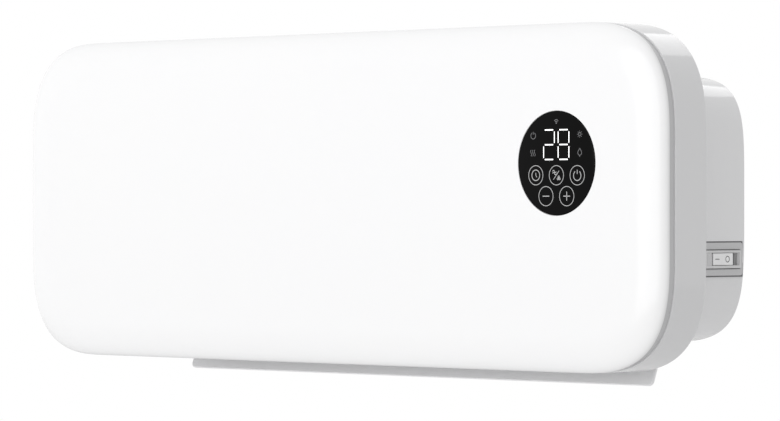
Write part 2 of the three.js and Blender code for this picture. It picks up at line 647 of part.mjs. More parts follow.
const SADDLE_HALF = 26;
let saddle = box(
  motorLeft + 6,
  motorRight - 6,
  FAN_Y + MOTOR_RADIUS / 2,
  BACK_WALL,
  FAN_Z - SADDLE_HALF,
  FAN_Z + SADDLE_HALF,
);
saddle = saddle.subtract(cylinderX(MOTOR_RADIUS + GAP, motorLeft, motorRight, FAN_Y, FAN_Z));
part("motor_bracket", saddle, paleGrey);

const BEARING_RADIUS = 7;
const bearing = cylinderX(BEARING_RADIUS, bearingLeft, shaftRight, FAN_Y, FAN_Z);
part(
  "shaft_bearing",
  bearing.subtract(cylinderX(runningBore, bearingLeft - 1, shaftRight + 1, FAN_Y, FAN_Z)),
  steel,
);
const HOLDER_HALF = 12;
let holder = box(
  bearingLeft,
  shaftRight + 1,
  FAN_Y - HOLDER_HALF,
  BACK_WALL,
  FAN_Z - HOLDER_HALF,
  FAN_Z + HOLDER_HALF,
);
holder = holder.subtract(
  cylinderX(BEARING_RADIUS + GAP, bearingLeft - 1, shaftRight + 2, FAN_Y, FAN_Z),
);
part("bearing_holder", holder, paleGrey);

// ---- Heater: two finned ceramic banks between end holders ----
const HOLDER_LENGTH = 9;
const heaterBottom = HEATER_TOP - HEATER_HEIGHT;
const heaterFront = DUCT_FRONT + GAP;
const heaterRear = DUCT_REAR - GAP;
const banksLeft = ductLeft + HOLDER_LENGTH;
const banksRight = ductRight - HOLDER_LENGTH;
const bankLength = (banksRight - banksLeft) / 2 - GAP;
const RAIL = 2.4;
const FIN_INSET = 0.2; // from each end of the rails to the outermost fins
function bank(left) {
  const right = left + bankLength;
  const middle = (heaterFront + heaterRear) / 2;
  const pieces = [heaterFront, middle - RAIL / 2, heaterRear - RAIL].map((y) =>
    box(left, right, y, y + RAIL, heaterBottom, HEATER_TOP),
  );
  const fins = Math.floor((bankLength - FIN_THICKNESS) / FIN_PITCH);
  const pitch = (bankLength - FIN_THICKNESS - 2 * FIN_INSET) / fins;
  for (let i = 0; i <= fins; i += 1) {
    const x = left + FIN_INSET + i * pitch;
    pieces.push(
      box(x, x + FIN_THICKNESS, heaterFront + 1, heaterRear - 1, heaterBottom + 1, HEATER_TOP - 1),
    );
  }
  return joined(pieces);
}
part("ptc_bank_left", bank(banksLeft), aluminium);
part("ptc_bank_right", bank(banksRight - bankLength), aluminium);
const holderBlock = (left, right) =>
  box(left, right, heaterFront, heaterRear, heaterBottom - 2, HEATER_TOP + 2);
part("heater_holder_left", holderBlock(ductLeft, banksLeft), ceramic);
part("heater_holder_right", holderBlock(banksRight, ductRight), ceramic);

const CUTOUT_RADIUS = 8;
const CUTOUT_X = 100;
const ductFace = DUCT_FRONT - SHEET;
const cutoutZ = HEATER_TOP - HEATER_HEIGHT / 2;
part("thermal_cutout", cylinderY(CUTOUT_RADIUS, ductFace - 7, ductFace, CUTOUT_X, cutoutZ), steel);
const FUSE_RADIUS = 2;
const fuse = cylinderX(FUSE_RADIUS, CUTOUT_X - 50, CUTOUT_X - 36, ductFace - GAP - FUSE_RADIUS, cutoutZ);
part("thermal_fuse", fuse, ceramic);

// ---- Outlet grille: a fixed guard across the mouth of the duct ----
const grilleTop = DUCT_BOTTOM + 10.5;
const grilleBottom = grilleTop - GRILLE_HEIGHT;
const BAR = 1.6;
const RIB_INSET = 0.4;
const grilleLeft = ductLeft + GAP;
const grilleRight = ductRight - GAP;
const grillePieces = [];
for (let i = 0; i < GRILLE_BARS; i += 1) {
  const y = heaterFront + (i * (heaterRear - heaterFront - BAR)) / (GRILLE_BARS - 1);
  grillePieces.push(box(grilleLeft, grilleRight, y, y + BAR, grilleBottom, grilleTop));
}
const ribCount = Math.round((grilleRight - grilleLeft) / GRILLE_PITCH);
const ribPitch = (grilleRight - grilleLeft - BAR - 2 * RIB_INSET) / ribCount;
for (let i = 0; i <= ribCount; i += 1) {
  const x = grilleLeft + RIB_INSET + i * ribPitch;
  const low = grilleBottom + RIB_INSET;
  const high = grilleTop - RIB_INSET;
  grillePieces.push(box(x, x + BAR, heaterFront + RIB_INSET, heaterRear - RIB_INSET, low, high));
}
part("outlet_grille", joined(grillePieces), paleGrey);

// ---- Flap: modelled closed about its own hinge, then turned to stand open ----
const flapGroup = new THREE.Group();
flapGroup.position.set(0, FLAP_AXIS_Y, FLAP_AXIS_Z);
flapGroup.rotation.x = THREE.MathUtils.degToRad(FLAP_OPEN);
heater.add(flapGroup);
const leafTop = -FLAP_DROP + FLAP_THICKNESS / 2;
const leafBottom = -FLAP_DROP - FLAP_THICKNESS / 2;
const FLAP_CORNER = 3.5;
function leaf() {
  const shape = new THREE.Shape();
  shape.moveTo(FLAP_LEFT, 0);
  shape.lineTo(FLAP_RIGHT, 0);
  shape.lineTo(FLAP_RIGHT, -FLAP_LENGTH + FLAP_CORNER);
  shape.absarc(FLAP_RIGHT - FLAP_CORNER, -FLAP_LENGTH + FLAP_CORNER, FLAP_CORNER, 0, -Math.PI / 2, true);
  shape.lineTo(FLAP_LEFT + FLAP_CORNER, -FLAP_LENGTH);
  shape.absarc(FLAP_LEFT + FLAP_CORNER, -FLAP_LENGTH + FLAP_CORNER, FLAP_CORNER, -Math.PI / 2, -Math.PI, true);
  const plate = new THREE.ExtrudeGeometry(shape, {
    depth: FLAP_THICKNESS,
    bevelEnabled: false,
    curveSegments: 6,
  });
  return solid(plate.translate(0, 0, leafBottom));
}
const EAR = 3;
let flap = leaf();
for (const [inner, outer] of [[FLAP_LEFT + EAR, FLAP_LEFT], [FLAP_RIGHT - EAR, FLAP_RIGHT]]) {
  const low = Math.min(inner, outer);
  const high = Math.max(inner, outer);
  flap = flap.add(cylinderX(BARREL_RADIUS, low, high, 0, 0, SMALL_ROUND));
  flap = flap.add(box(low, high, -BARREL_RADIUS, 0, leafTop - 0.5, 0));
}
const pinRight = FLAP_RIGHT + PIN_LENGTH;
const pinLeft = FLAP_LEFT - PIN_LENGTH;
flap = flap.add(cylinderX(PIN_RADIUS, FLAP_RIGHT - 1, pinRight, 0, 0, SMALL_ROUND));
flap = flap.add(cylinderX(PIN_RADIUS, pinLeft, FLAP_LEFT + 1, 0, 0, SMALL_ROUND));
part("swing_flap", flap, paleGrey, flapGroup);

const pinBore = (x0, x1) =>
  cylinderX(PIN_RADIUS + PIN_CLEARANCE, x0, x1, FLAP_AXIS_Y, FLAP_AXIS_Z, SMALL_ROUND);
const bushLeft = outletRight + 0.6;
const bushTop = FLAP_AXIS_Z + 3.8;
let bush = box(bushLeft, pinRight + 1, FLAP_AXIS_Y - 3.4, FLAP_AXIS_Y + 3.4, FLOOR, bushTop);
bush = bush.intersect(prismY(housingOutline(SHELL_WALL + GAP), HOUSING_FRONT, BACK_WALL));
part("flap_bush", bush.subtract(pinBore(bushLeft - 1, pinRight + 2)), darkPlastic);
const STEPPER_RADIUS = 12;
const STEPPER_LENGTH = 15;
const stepperRight = outletLeft - 3;
const stepperY = BACK_WALL - GAP - STEPPER_RADIUS;
const stepperZ = FLOOR + GAP + STEPPER_RADIUS;
const inHousing = prismY(housingOutline(SHELL_WALL), HOUSING_FRONT, BACK_WALL);
const stepperFoot = box(
  stepperRight - 8,
  stepperRight,
  stepperY - 4,
  FLAP_AXIS_Y + 3.4,
  FLOOR,
  FLAP_AXIS_Z + 7,
);
let stepper = cylinderX(STEPPER_RADIUS, stepperRight - STEPPER_LENGTH, stepperRight, stepperY, stepperZ);
stepper = stepper.add(stepperFoot.intersect(inHousing));
part("flap_motor", stepper.subtract(pinBore(pinLeft - 0.5, stepperRight + 1)), steel);

// ---- Mains switch: plate, body with its bezel, and the paddle ----
const plate = box(pocketX, plateFace, ...plateShape(0));
const plateHole = box(pocketX - 1, plateFace + 1, ...bodyShape(BODY_SLACK));
part("switch_plate", plate.subtract(plateHole), paleGrey);
const bezelBox = box(
  plateFace,
  bezelFace,
  SWITCH_Y - BEZEL_LENGTH / 2,
  SWITCH_Y + BEZEL_LENGTH / 2,
  SWITCH_Z - BEZEL_HEIGHT / 2,
  SWITCH_Z + BEZEL_HEIGHT / 2,
);
let switchBody = bezelBox.add(box(bezelFace - SWITCH_DEPTH, plateFace + 1, ...bodyShape(0)));

// The recess slopes down from the bezel's ends to a bay that the paddle swings in.
const WELL_RIM = 1.6; // bezel left at each end
const WELL_DEPTH = 2.75; // of the rear slope
const WELL_FRONT_DEPTH = 0.7; // of the long front slope
const WELL_SLOPE = 2.35; // length of the rear slope
const PADDLE_GAP = 0.6; // before the paddle's end
const tilt = THREE.MathUtils.degToRad(PADDLE_TILT);
const vRise = (PADDLE_LENGTH / 2) * Math.tan(tilt);
const paddleReach = (PADDLE_LENGTH / 2) * Math.cos(tilt) + (PADDLE_RISE + vRise) * Math.sin(tilt);
const paddleY = SWITCH_Y - PADDLE_SHIFT;
const wellFront = SWITCH_Y - BEZEL_LENGTH / 2 + WELL_RIM;
const wellRear = SWITCH_Y + BEZEL_LENGTH / 2 - WELL_RIM;
const bayFront = paddleY - paddleReach - PADDLE_GAP;
const bayRear = wellRear - WELL_SLOPE;
const bayFloor = pivotX - 8;
const bayHalfHeight = PADDLE_HEIGHT / 2 + GAP;
const bay = new THREE.Shape();
bay.moveTo(bezelFace + 1, wellFront);
bay.lineTo(bezelFace, wellFront);
bay.lineTo(bezelFace - WELL_FRONT_DEPTH, bayFront);
bay.lineTo(bayFloor, bayFront);
bay.lineTo(bayFloor, bayRear);
bay.lineTo(bezelFace - WELL_DEPTH, bayRear);
bay.lineTo(bezelFace, wellRear);
bay.lineTo(bezelFace + 1, wellRear);
const bayBlock = new THREE.ExtrudeGeometry(bay, { depth: 2 * bayHalfHeight, bevelEnabled: false });
switchBody = switchBody.subtract(solid(bayBlock.translate(0, 0, SWITCH_Z - bayHalfHeight)));
const TRUNNION_RADIUS = 1;
const trunnionReach = bodyHalfHeight - 0.3;
switchBody = switchBody.subtract(
  cylinderZ(
    TRUNNION_RADIUS + PIN_CLEARANCE,
    SWITCH_Z - trunnionReach - 0.15,
    SWITCH_Z + trunnionReach + 0.15,
    pivotX,
    paddleY,
    SMALL_ROUND,
  ),
);
for (const end of [-1, 1]) {
  const y = SWITCH_Y + end * 8;
  const pinEnd = bezelFace - SWITCH_DEPTH - 7;
  const tab = box(pinEnd, bezelFace - SWITCH_DEPTH + 1, y - 0.4, y + 0.4, SWITCH_Z - 3, SWITCH_Z + 3);
  switchBody = switchBody.add(tab);
}
part("switch_body", switchBody, paleSatin);

// The paddle's face is a shallow V, so the pressed half lies level and the other half stands up.
const paddleGroup = new THREE.Group();
paddleGroup.position.set(pivotX, paddleY, SWITCH_Z);
paddleGroup.rotation.z = -tilt;
heater.add(paddleGroup);
const paddleShape = new THREE.Shape();
paddleShape.moveTo(PADDLE_RISE, 0);
paddleShape.lineTo(PADDLE_RISE + vRise, PADDLE_LENGTH / 2);
paddleShape.lineTo(1.2, PADDLE_LENGTH / 2 - 0.6);
paddleShape.lineTo(-5.5, 3);
paddleShape.lineTo(-5.5, -3);
paddleShape.lineTo(1.2, -PADDLE_LENGTH / 2 + 0.6);
paddleShape.lineTo(PADDLE_RISE + vRise, -PADDLE_LENGTH / 2);
const paddleBlock = new THREE.ExtrudeGeometry(paddleShape, { depth: PADDLE_HEIGHT, bevelEnabled: false });
const trunnion = cylinderZ(TRUNNION_RADIUS, -trunnionReach, trunnionReach, 0, 0, SMALL_ROUND);
const paddle = solid(paddleBlock.translate(0, 0, -PADDLE_HEIGHT / 2)).add(trunnion);
part("rocker_paddle", paddle, whiteGloss, paddleGroup);

// ---- Cord gland, rubber feet and room sensor ----
const GLAND_LIP = 9;
const glandBottom = HOUSING_BOTTOM - 8;
let gland = cylinderZ(GLAND_RADIUS, glandBottom, FLOOR + 6, GLAND_X, GLAND_Y);
gland = gland.add(cylinderZ(GLAND_LIP, HOUSING_BOTTOM - 3, HOUSING_BOTTOM, GLAND_X, GLAND_Y));
gland = gland.subtract(cylinderZ(3.6, glandBottom - 1, FLOOR + 7, GLAND_X, GLAND_Y));
part("cord_gland", gland, darkPlastic);
const FOOT_FROM_SIDE = 142;
const FOOT_X = HOUSING_SIDE - FOOT_FROM_SIDE;
const FOOT_Z = HOUSING_BOTTOM + 26.2;
for (const [side, x] of [["left", -FOOT_X], ["right", FOOT_X]]) {
  part(`foot_${side}`, cylinderY(FOOT_RADIUS, HOUSING_REAR, 0, x, FOOT_Z), rubber);
}
const SENSOR = { x: HOUSING_SIDE - 38, width: 8, depth: 5, z: HOUSING_TOP - 51, height: 14 };
part(
  "room_sensor",
  box(
    SENSOR.x,
    SENSOR.x + SENSOR.width,
    BACK_WALL - SENSOR.depth,
    BACK_WALL,
    SENSOR.z,
    SENSOR.z + SENSOR.height,
  ),
  darkPlastic,
);

// ---- Internal leads ----
const LEAD_RADIUS = 2.2;
function lead(points, radius = LEAD_RADIUS) {
  const route = new THREE.CatmullRomCurve3(points.map(([x, y, z]) => new THREE.Vector3(x, y, z)));
  const section = new THREE.Shape();
  section.absarc(0, 0, radius, 0, 2 * Math.PI, false);
  const tube = new THREE.ExtrudeGeometry(section, { steps: 18, curveSegments: 4, extrudePath: route });
  return solid(tube);
}
const terminalZ = TERMINAL.bottom + TERMINAL.height;
const terminalY = BACK_WALL - TERMINAL.depth / 2;
const terminalX = TERMINAL.left + TERMINAL.width / 2;
part(
  "supply_lead",
  lead([
    [GLAND_X, GLAND_Y, FLOOR + 6 + GAP],
    [GLAND_X - 2, GLAND_Y, FLOOR + 14],
    [GLAND_X - 16, terminalY - 4, TERMINAL.bottom - 12],
    [terminalX, terminalY, TERMINAL.bottom - 5],
    [terminalX, terminalY, TERMINAL.bottom - GAP - 0.3],
  ]),
  darkPlastic,
);
part(
  "board_lead",
  lead([
    [terminalX, terminalY, terminalZ + GAP + 0.3],
    [terminalX, terminalY, terminalZ + 5],
    [terminalX, terminalY - 10, terminalZ + 14],
    [TERMINAL.left + 26, BAND_FRONT + 26, terminalZ + 12],
    [boardLeft - 24, boardRear + 15, boardTop - 14],
    [boardLeft + 8, boardRear + 12, boardTop - 12],
    [boardLeft + 10, boardRear + 6, boardTop - 12],
    [boardLeft + 10, boardRear + GAP + 0.3, boardTop - 12],
  ]),
  darkPlastic,
);

export default heater;
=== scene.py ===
# %% [markdown]
# # A wall fan heater for a bathroom
#
# The heater hangs on a wall. Its front is a wide, glossy white panel with a pillow edge. Behind that
# come a narrow inset strip, a deep side band and a smaller rear casing, and an air flap stands open below.
# The solids of the real construction are loaded first, as a fixed frame, and each visible piece is then
# modelled finely in the place that the frame gives it.

# %% Load the frame
import json
from math import cos, pi, radians, sin

import bmesh
import bpy
from mathutils import Matrix, Vector


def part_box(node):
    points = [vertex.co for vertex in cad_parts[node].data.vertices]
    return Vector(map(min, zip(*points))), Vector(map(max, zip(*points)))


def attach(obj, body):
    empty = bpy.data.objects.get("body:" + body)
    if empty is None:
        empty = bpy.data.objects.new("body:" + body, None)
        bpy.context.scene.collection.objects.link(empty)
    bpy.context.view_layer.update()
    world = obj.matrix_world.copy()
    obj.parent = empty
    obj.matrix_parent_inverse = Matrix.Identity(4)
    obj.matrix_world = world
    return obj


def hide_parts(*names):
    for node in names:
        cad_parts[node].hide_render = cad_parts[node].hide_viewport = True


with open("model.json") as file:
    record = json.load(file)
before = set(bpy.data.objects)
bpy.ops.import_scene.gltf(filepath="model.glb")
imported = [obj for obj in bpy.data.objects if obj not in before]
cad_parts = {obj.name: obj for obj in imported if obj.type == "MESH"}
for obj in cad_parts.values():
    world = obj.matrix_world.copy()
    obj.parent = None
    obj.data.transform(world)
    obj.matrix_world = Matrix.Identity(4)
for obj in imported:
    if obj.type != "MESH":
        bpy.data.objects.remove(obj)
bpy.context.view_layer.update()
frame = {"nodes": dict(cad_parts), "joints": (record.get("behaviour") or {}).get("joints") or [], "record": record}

MM = 0.001
MERGE_DISTANCE = 0.002 * MM  # vertices closer than this become one
TINY = 1e-6  # a difference that counts as none
OVERSHOOT = 1  # mm that a cutter stands out of what it cuts
scene = bpy.context.scene

# %% [markdown]
# ## Camera
#
# The heater was seen from its front right with a long lens, so its upright edges stay upright and the
# long sides meet far away. Placing the camera by hand and nudging it is slow. Here its place, turn and
# focal length were worked out from the outlines, and they are written as real sizes.

# %% Camera
CAMERA_PLACE = (2.1401, -2.1726, -0.0074)
CAMERA_TURN = 44.917  # degrees from square on, to the heater's right
CAMERA_TILT = -0.027  # degrees up from level
FOCAL_LENGTH = 189.6  # mm
SENSOR_WIDTH = 36  # mm
SIGHT_LIMIT = 50  # m

camera_data = bpy.data.cameras.new("camera")
camera_data.sensor_width = SENSOR_WIDTH
camera_data.lens = FOCAL_LENGTH
camera_data.clip_end = SIGHT_LIMIT
camera = bpy.data.objects.new("camera", camera_data)
camera.location = CAMERA_PLACE
camera.rotation_euler = (radians(90 + CAMERA_TILT), 0, radians(CAMERA_TURN))
scene.collection.objects.link(camera)
scene.camera = camera
print("the camera stands", round(camera.location.length, 3), "m from the origin")

# %% [markdown]
# ## Finishes
#
# Most of the heater is moulded ABS. The front is an even white with a soft, weak gleam. The band and the
# rear casing gleam more clearly, so their sides pick up the white around them. A roughness number alone
# looks too even, so a shallow bump breaks each reflection up. The real grain of such mouldings is a tenth
# of a millimetre or less and wouldn't show at this size, so each grain is drawn coarser. One function adds
# a node, and each finish is a short list of such nodes.


# %% Material helpers
DRIFT_SIZE = 180  # mm, over which a moulding's colour drifts
SHEEN_SPREAD = 0.06  # share by which a moulding's roughness varies with its grain
MARK_SPREAD = 0.25  # the same for a metal's rolling marks
MARK_DEPTH = 0.02  # mm


def linear(hex_colour):
    """An sRGB hex value as the linear colour that the shader wants."""
    channels = [int(hex_colour[i : i + 2], 16) / 255 for i in (1, 3, 5)]
    curved = [c / 12.92 if c <= 0.04045 else ((c + 0.055) / 1.055) ** 2.4 for c in channels]
    return (*curved, 1)


def node(tree, kind, settings=(), **inputs):
    """Adds one node, sets its properties and fills or links its inputs."""
    made = tree.nodes.new(kind)
    for name, value in dict(settings).items():
        setattr(made, name, value)
    for name, value in inputs.items():
        socket = made.inputs[int(name[1:])] if name[0] == "_" else made.inputs[name.replace("_", " ")]
        if isinstance(value, bpy.types.NodeSocket):
            tree.links.new(value, socket)
        else:
            socket.default_value = value
    return made


def new_material(name):
    material = bpy.data.materials.new(name)
    material.use_nodes = True
    tree = material.node_tree
    tree.nodes.clear()
    return material, tree


def moulded(name, colour, deeper, roughness, grain, depth, ior=1.5, shine=0.5):
    """A moulded or plated surface: slow colour drift, and a bump whose grain is given in millimetres."""
    material, tree = new_material(name)
    place = node(tree, "ShaderNodeTexCoord").outputs["Object"]
    drift = node(tree, "ShaderNodeTexNoise", Vector=place, Scale=1 / (DRIFT_SIZE * MM), Detail=2.0)
    fine = node(tree, "ShaderNodeTexNoise", Vector=place, Scale=1 / (grain * MM), Detail=3.0)
    tone = node(
        tree,
        "ShaderNodeMix",
        {"data_type": "RGBA"},
        _0=drift.outputs[0],
        _6=linear(colour),
        _7=linear(deeper),
    )
    sheen = node(
        tree,
        "ShaderNodeMapRange",
        Value=fine.outputs[0],
        To_Min=roughness * (1 - SHEEN_SPREAD),
        To_Max=roughness * (1 + SHEEN_SPREAD),
    )
    bump = node(tree, "ShaderNodeBump", Height=fine.outputs[0], Distance=depth * MM, Strength=1.0)
    shader = node(
        tree,
        "ShaderNodeBsdfPrincipled",
        Base_Color=tone.outputs[2],
        Roughness=sheen.outputs[0],
        Normal=bump.outputs[0],
        IOR=ior,
        Specular_IOR_Level=shine,
    )
    node(tree, "ShaderNodeOutputMaterial", Surface=shader.outputs[0])
    return material


def metal(name, colour, roughness, grain, stretch=(1, 1, 1)):
    """A metal surface, with its rolling or turning marks drawn by a stretched noise."""
    material, tree = new_material(name)
    place = node(tree, "ShaderNodeTexCoord").outputs["Object"]
    mapped = node(tree, "ShaderNodeMapping", Vector=place, Scale=stretch)
    marks = node(tree, "ShaderNodeTexNoise", Vector=mapped.outputs[0], Scale=1 / (grain * MM), Detail=4.0)
    sheen = node(
        tree,
        "ShaderNodeMapRange",
        Value=marks.outputs[0],
        To_Min=roughness * (1 - MARK_SPREAD),
        To_Max=roughness * (1 + MARK_SPREAD),
    )
    bump = node(tree, "ShaderNodeBump", Height=marks.outputs[0], Distance=MARK_DEPTH * MM)
    shader = node(
        tree,
        "ShaderNodeBsdfPrincipled",
        Base_Color=linear(colour),
        Metallic=1.0,
        Roughness=sheen.outputs[0],
        Normal=bump.outputs[0],
    )
    node(tree, "ShaderNodeOutputMaterial", Surface=shader.outputs[0])
    return material


# %% The heater's finishes
# ABS from a polished mould. Its gleam is kept weak, so that the white stays even across the whole front.
polished_white_abs = moulded("polished_white_abs", "#F1F1F1", "#F0F0F1", 0.16, 1.6, 0.002, shine=0.25)
# ABS from a lightly eroded mould. Its gleam is clear, so the sides brighten where they turn away.
satin_white_abs = moulded("satin_white_abs", "#E4E4E5", "#E2E2E3", 0.1, 1.2, 0.002)
casing_abs = moulded("casing_abs", "#ECECED", "#EAEAEB", 0.1, 1.2, 0.002)
# ABS from a coarser mould: an even, quiet surface without a gleam.
satin_grey_abs = moulded("satin_grey_abs", "#CDCDCE", "#CBCBCC", 0.42, 0.5, 0.012)
flap_abs = moulded("flap_abs", "#F6F6F7", "#F4F4F5", 0.36, 0.5, 0.01)
# Cast acrylic: flat as glass and nearly black, so it shows little but its own print.
black_acrylic = moulded("black_acrylic", "#0A0A0B", "#090909", 0.05, 4.0, 0.0005, ior=1.49, shine=0.06)
# Glass-filled nylon: dark, with a dull, slightly rough skin.
dark_nylon = moulded("dark_nylon", "#2A2B2D", "#252628", 0.5, 0.6, 0.02)
# The switch's mouldings: a smooth paddle, a duller bezel and a recess whose darker grey is painted shade.
rocker_abs = moulded("rocker_abs", "#F8F8F8", "#F6F6F7", 0.25, 1.2, 0.003)
bezel_abs = moulded("bezel_abs", "#DADADA", "#D8D8D9", 0.3, 0.8, 0.005)
recess_painted_shade = moulded("recess_painted_shade", "#D2D2D3", "#CFCFD0", 0.45, 0.6, 0.01)
# What shows least: varnished board, dull rubber, chalky ceramic and a frosted diffuser.
solder_resist = moulded("solder_resist", "#1F5B3A", "#1A5033", 0.35, 1.0, 0.01)
bumper_rubber = moulded("bumper_rubber", "#3A3A3C", "#333335", 0.8, 0.8, 0.04)
steatite = moulded("steatite", "#DDD6C6", "#D3CBB9", 0.65, 0.8, 0.03)
led_diffuser = moulded("led_diffuser", "#D8D8DA", "#D0D0D2", 0.6, 1.0, 0.01)
# Zinc-plated steel has soft cloudy flecks. Rolled aluminium has marks drawn out along the rolling.
zinc_plate = metal("zinc_plate", "#B9BCBE", 0.36, 6.0)
mill_aluminium = metal("mill_aluminium", "#C9CBCD", 0.3, 3.0, (0.1, 1, 1))
FINISH_OF_SLOT = {
    "panel_gloss": polished_white_abs,
    "casing_satin": satin_white_abs,
    "trim_grey": satin_grey_abs,
    "lens_black": black_acrylic,
    "dark_plastic": dark_nylon,
    "rocker_white": rocker_abs,
    "circuit_board": solder_resist,
    "led_face": led_diffuser,
    "zinc_steel": zinc_plate,
    "fin_aluminium": mill_aluminium,
    "foot_rubber": bumper_rubber,
    "ceramic": steatite,
}
SLOT_OF_NODE = {row["node"]: row["material_slot"] for row in frame["record"]["subparts"]}
BODY_OF_NODE = {
    name: body
    for body, names in frame["record"]["behaviour"]["bodies"].items()
    for name in names
}
for name, part in frame["nodes"].items():
    part.data.materials.clear()
    part.data.materials.append(FINISH_OF_SLOT[SLOT_OF_NODE[name]])
print("finished", len(frame["nodes"]), "frame parts with", len(FINISH_OF_SLOT), "finishes")

# %% [markdown]
# ## Making a piece
#
# Every piece goes the same way: a bmesh is shaped in place, its doubles are merged and its faces are
# turned outwards, and it becomes an object at the origin that rides on its body. Real mouldings have no
# razor edges, and a thin rounded edge catches the light, so a Bevel modifier finishes each piece.


# %% Piece helpers
SHARP_ANGLE = 32  # degrees between two faces, past which their edge is crisp and gets a bevel


def finish_piece(bm, name, stands_for, edge=0.4, segments=3, finish=None, slot=None, body=None):
    """Turns a bmesh into a finished piece that replaces the nodes it stands for."""
    bmesh.ops.remove_doubles(bm, verts=bm.verts, dist=MERGE_DISTANCE)
    bmesh.ops.recalc_face_normals(bm, faces=bm.faces)
    odd_edges = sum(len(side.link_faces) != 2 for side in bm.edges)
    volume = bm.calc_volume() * 1e6
    print(f"{name}: {len(bm.faces)} faces, {volume:.2f} cm3, {odd_edges} edges that don't join two faces")
    mesh = bpy.data.meshes.new(name)
    bm.to_mesh(mesh)
    bm.free()
    mesh.shade_smooth()
    mesh.set_sharp_from_angle(angle=radians(SHARP_ANGLE))
    piece = bpy.data.objects.new(name, mesh)
    scene.collection.objects.link(piece)
    first = stands_for[0] if stands_for else None
    slot = slot or SLOT_OF_NODE[first]
    mesh.materials.append(finish or FINISH_OF_SLOT[slot])
    if edge:
        bevel = piece.modifiers.new("soft_edges", "BEVEL")
        bevel.width = edge * MM
        bevel.segments = segments
        bevel.limit_method = "ANGLE"
        bevel.angle_limit = radians(SHARP_ANGLE)
        bevel.harden_normals = True
    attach(piece, body or BODY_OF_NODE[first])
    if stands_for:
        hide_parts(*stands_for)


def middle(node_name):
    low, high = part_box(node_name)
    return (low + high) / 2


def radius_of(node_name):
    """Half the width of a round node, in millimetres."""
    low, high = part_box(node_name)
    return (high.x - low.x) / MM / 2


def add_box(bm, low, high):
    """A box between two corners, in millimetres."""
    low = Vector(low) * MM
    high = Vector(high) * MM
    scale = Matrix.Diagonal((*(high - low), 1))
    placed = Matrix.Translation((low + high) / 2) @ scale
    return bmesh.ops.create_cube(bm, size=1, matrix=placed)["verts"]


def add_turned(bm, profile, centre, axis="Y", steps=72):
    """Spins a profile of (radius, height) points, in millimetres, about an axis through the centre."""
    along = {"X": Vector((1, 0, 0)), "Y": Vector((0, 1, 0)), "Z": Vector((0, 0, 1))}[axis]
    out = {"X": Vector((0, 1, 0)), "Y": Vector((1, 0, 0)), "Z": Vector((1, 0, 0))}[axis]
    points = [bm.verts.new(Vector(centre) + (out * r + along * h) * MM) for r, h in profile]
    edges = [bm.edges.new(pair) for pair in zip(points, points[1:])]
    bmesh.ops.spin(
        bm,
        geom=points + edges,
        cent=centre,
        axis=along,
        angle=2 * pi,
        steps=steps,
        use_merge=True,
    )


def edges_at(verts):
    """The edges that meet some vertices, each once and always in the same order."""
    return list(dict.fromkeys(edge for vert in verts for edge in vert.link_edges))


def edges_along_x(verts):
    return [edge for edge in edges_at(verts) if abs(edge.verts[0].co.x - edge.verts[1].co.x) > TINY]


def round_off(bm, edges, radius, segments):
    """Rounds some edges by a radius in millimetres."""
    bmesh.ops.bevel(
        bm,
        geom=edges,
        offset=radius * MM,
        segments=segments,
        profile=0.5,
        affect="EDGES",
        material=-1,
    )


def cut(piece_bm, cutter_bm):
    """Cuts one closed bmesh out of another and gives the rest back."""
    made = []
    for bm in (piece_bm, cutter_bm):
        bmesh.ops.remove_doubles(bm, verts=bm.verts, dist=MERGE_DISTANCE)
        bmesh.ops.recalc_face_normals(bm, faces=bm.faces)
        mesh = bpy.data.meshes.new("cutting")
        bm.to_mesh(mesh)
        bm.free()
        holder = bpy.data.objects.new("cutting", mesh)
        scene.collection.objects.link(holder)
        made.append(holder)
    body, cutter = made
    boolean = body.modifiers.new("cut", "BOOLEAN")
    boolean.operation = "DIFFERENCE"
    boolean.solver = "EXACT"
    boolean.use_self = True  # the cutters are made of shapes that overlap
    boolean.object = cutter
    bpy.context.view_layer.update()
    graph = bpy.context.evaluated_depsgraph_get()
    result = bmesh.new()
    result.from_mesh(body.evaluated_get(graph).to_mesh())
    for holder in made:
        bpy.data.objects.remove(holder)
    return result


# %% [markdown]
# ## Soft outlines
#
# The panel's corners aren't plain arcs. Their bend starts slowly and tightens towards the diagonal, which
# is what makes the front look soft. A superellipse draws such a corner with one number, its power. Every
# shell here is one ring of that outline, extruded again and again through a list of stations. A number
# stored on each vertex says which place on the outline it holds, and the extrude carries it along.

# %% Driving sizes, in millimetres
panel_low, panel_high = (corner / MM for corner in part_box("front_panel"))
band_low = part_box("side_band")[0] / MM
housing_low, housing_high = (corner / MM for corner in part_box("rear_housing"))
PANEL_HALF_WIDTH = panel_high.x
PANEL_HALF_HEIGHT = panel_high.z
PANEL_CORNER = 82
PANEL_POWER = 2.85
PILLOW_REACH = 26.5
WALL = 2.4
FACE_Y = panel_low.y
RIM_Y = panel_high.y
BAND_Y = band_low.y
HOUSING_Y = housing_low.y
BACK_Y = housing_high.y
HOUSING_CORNER_TOP = 83
HOUSING_CORNER_BOTTOM = 98.4
HOUSING_POWER = 4.5
CORNER_STEPS = 40
SIDE_STEPS = 6
print("front face at y", round(FACE_Y, 2), "and wall side at y", round(BACK_Y, 2))


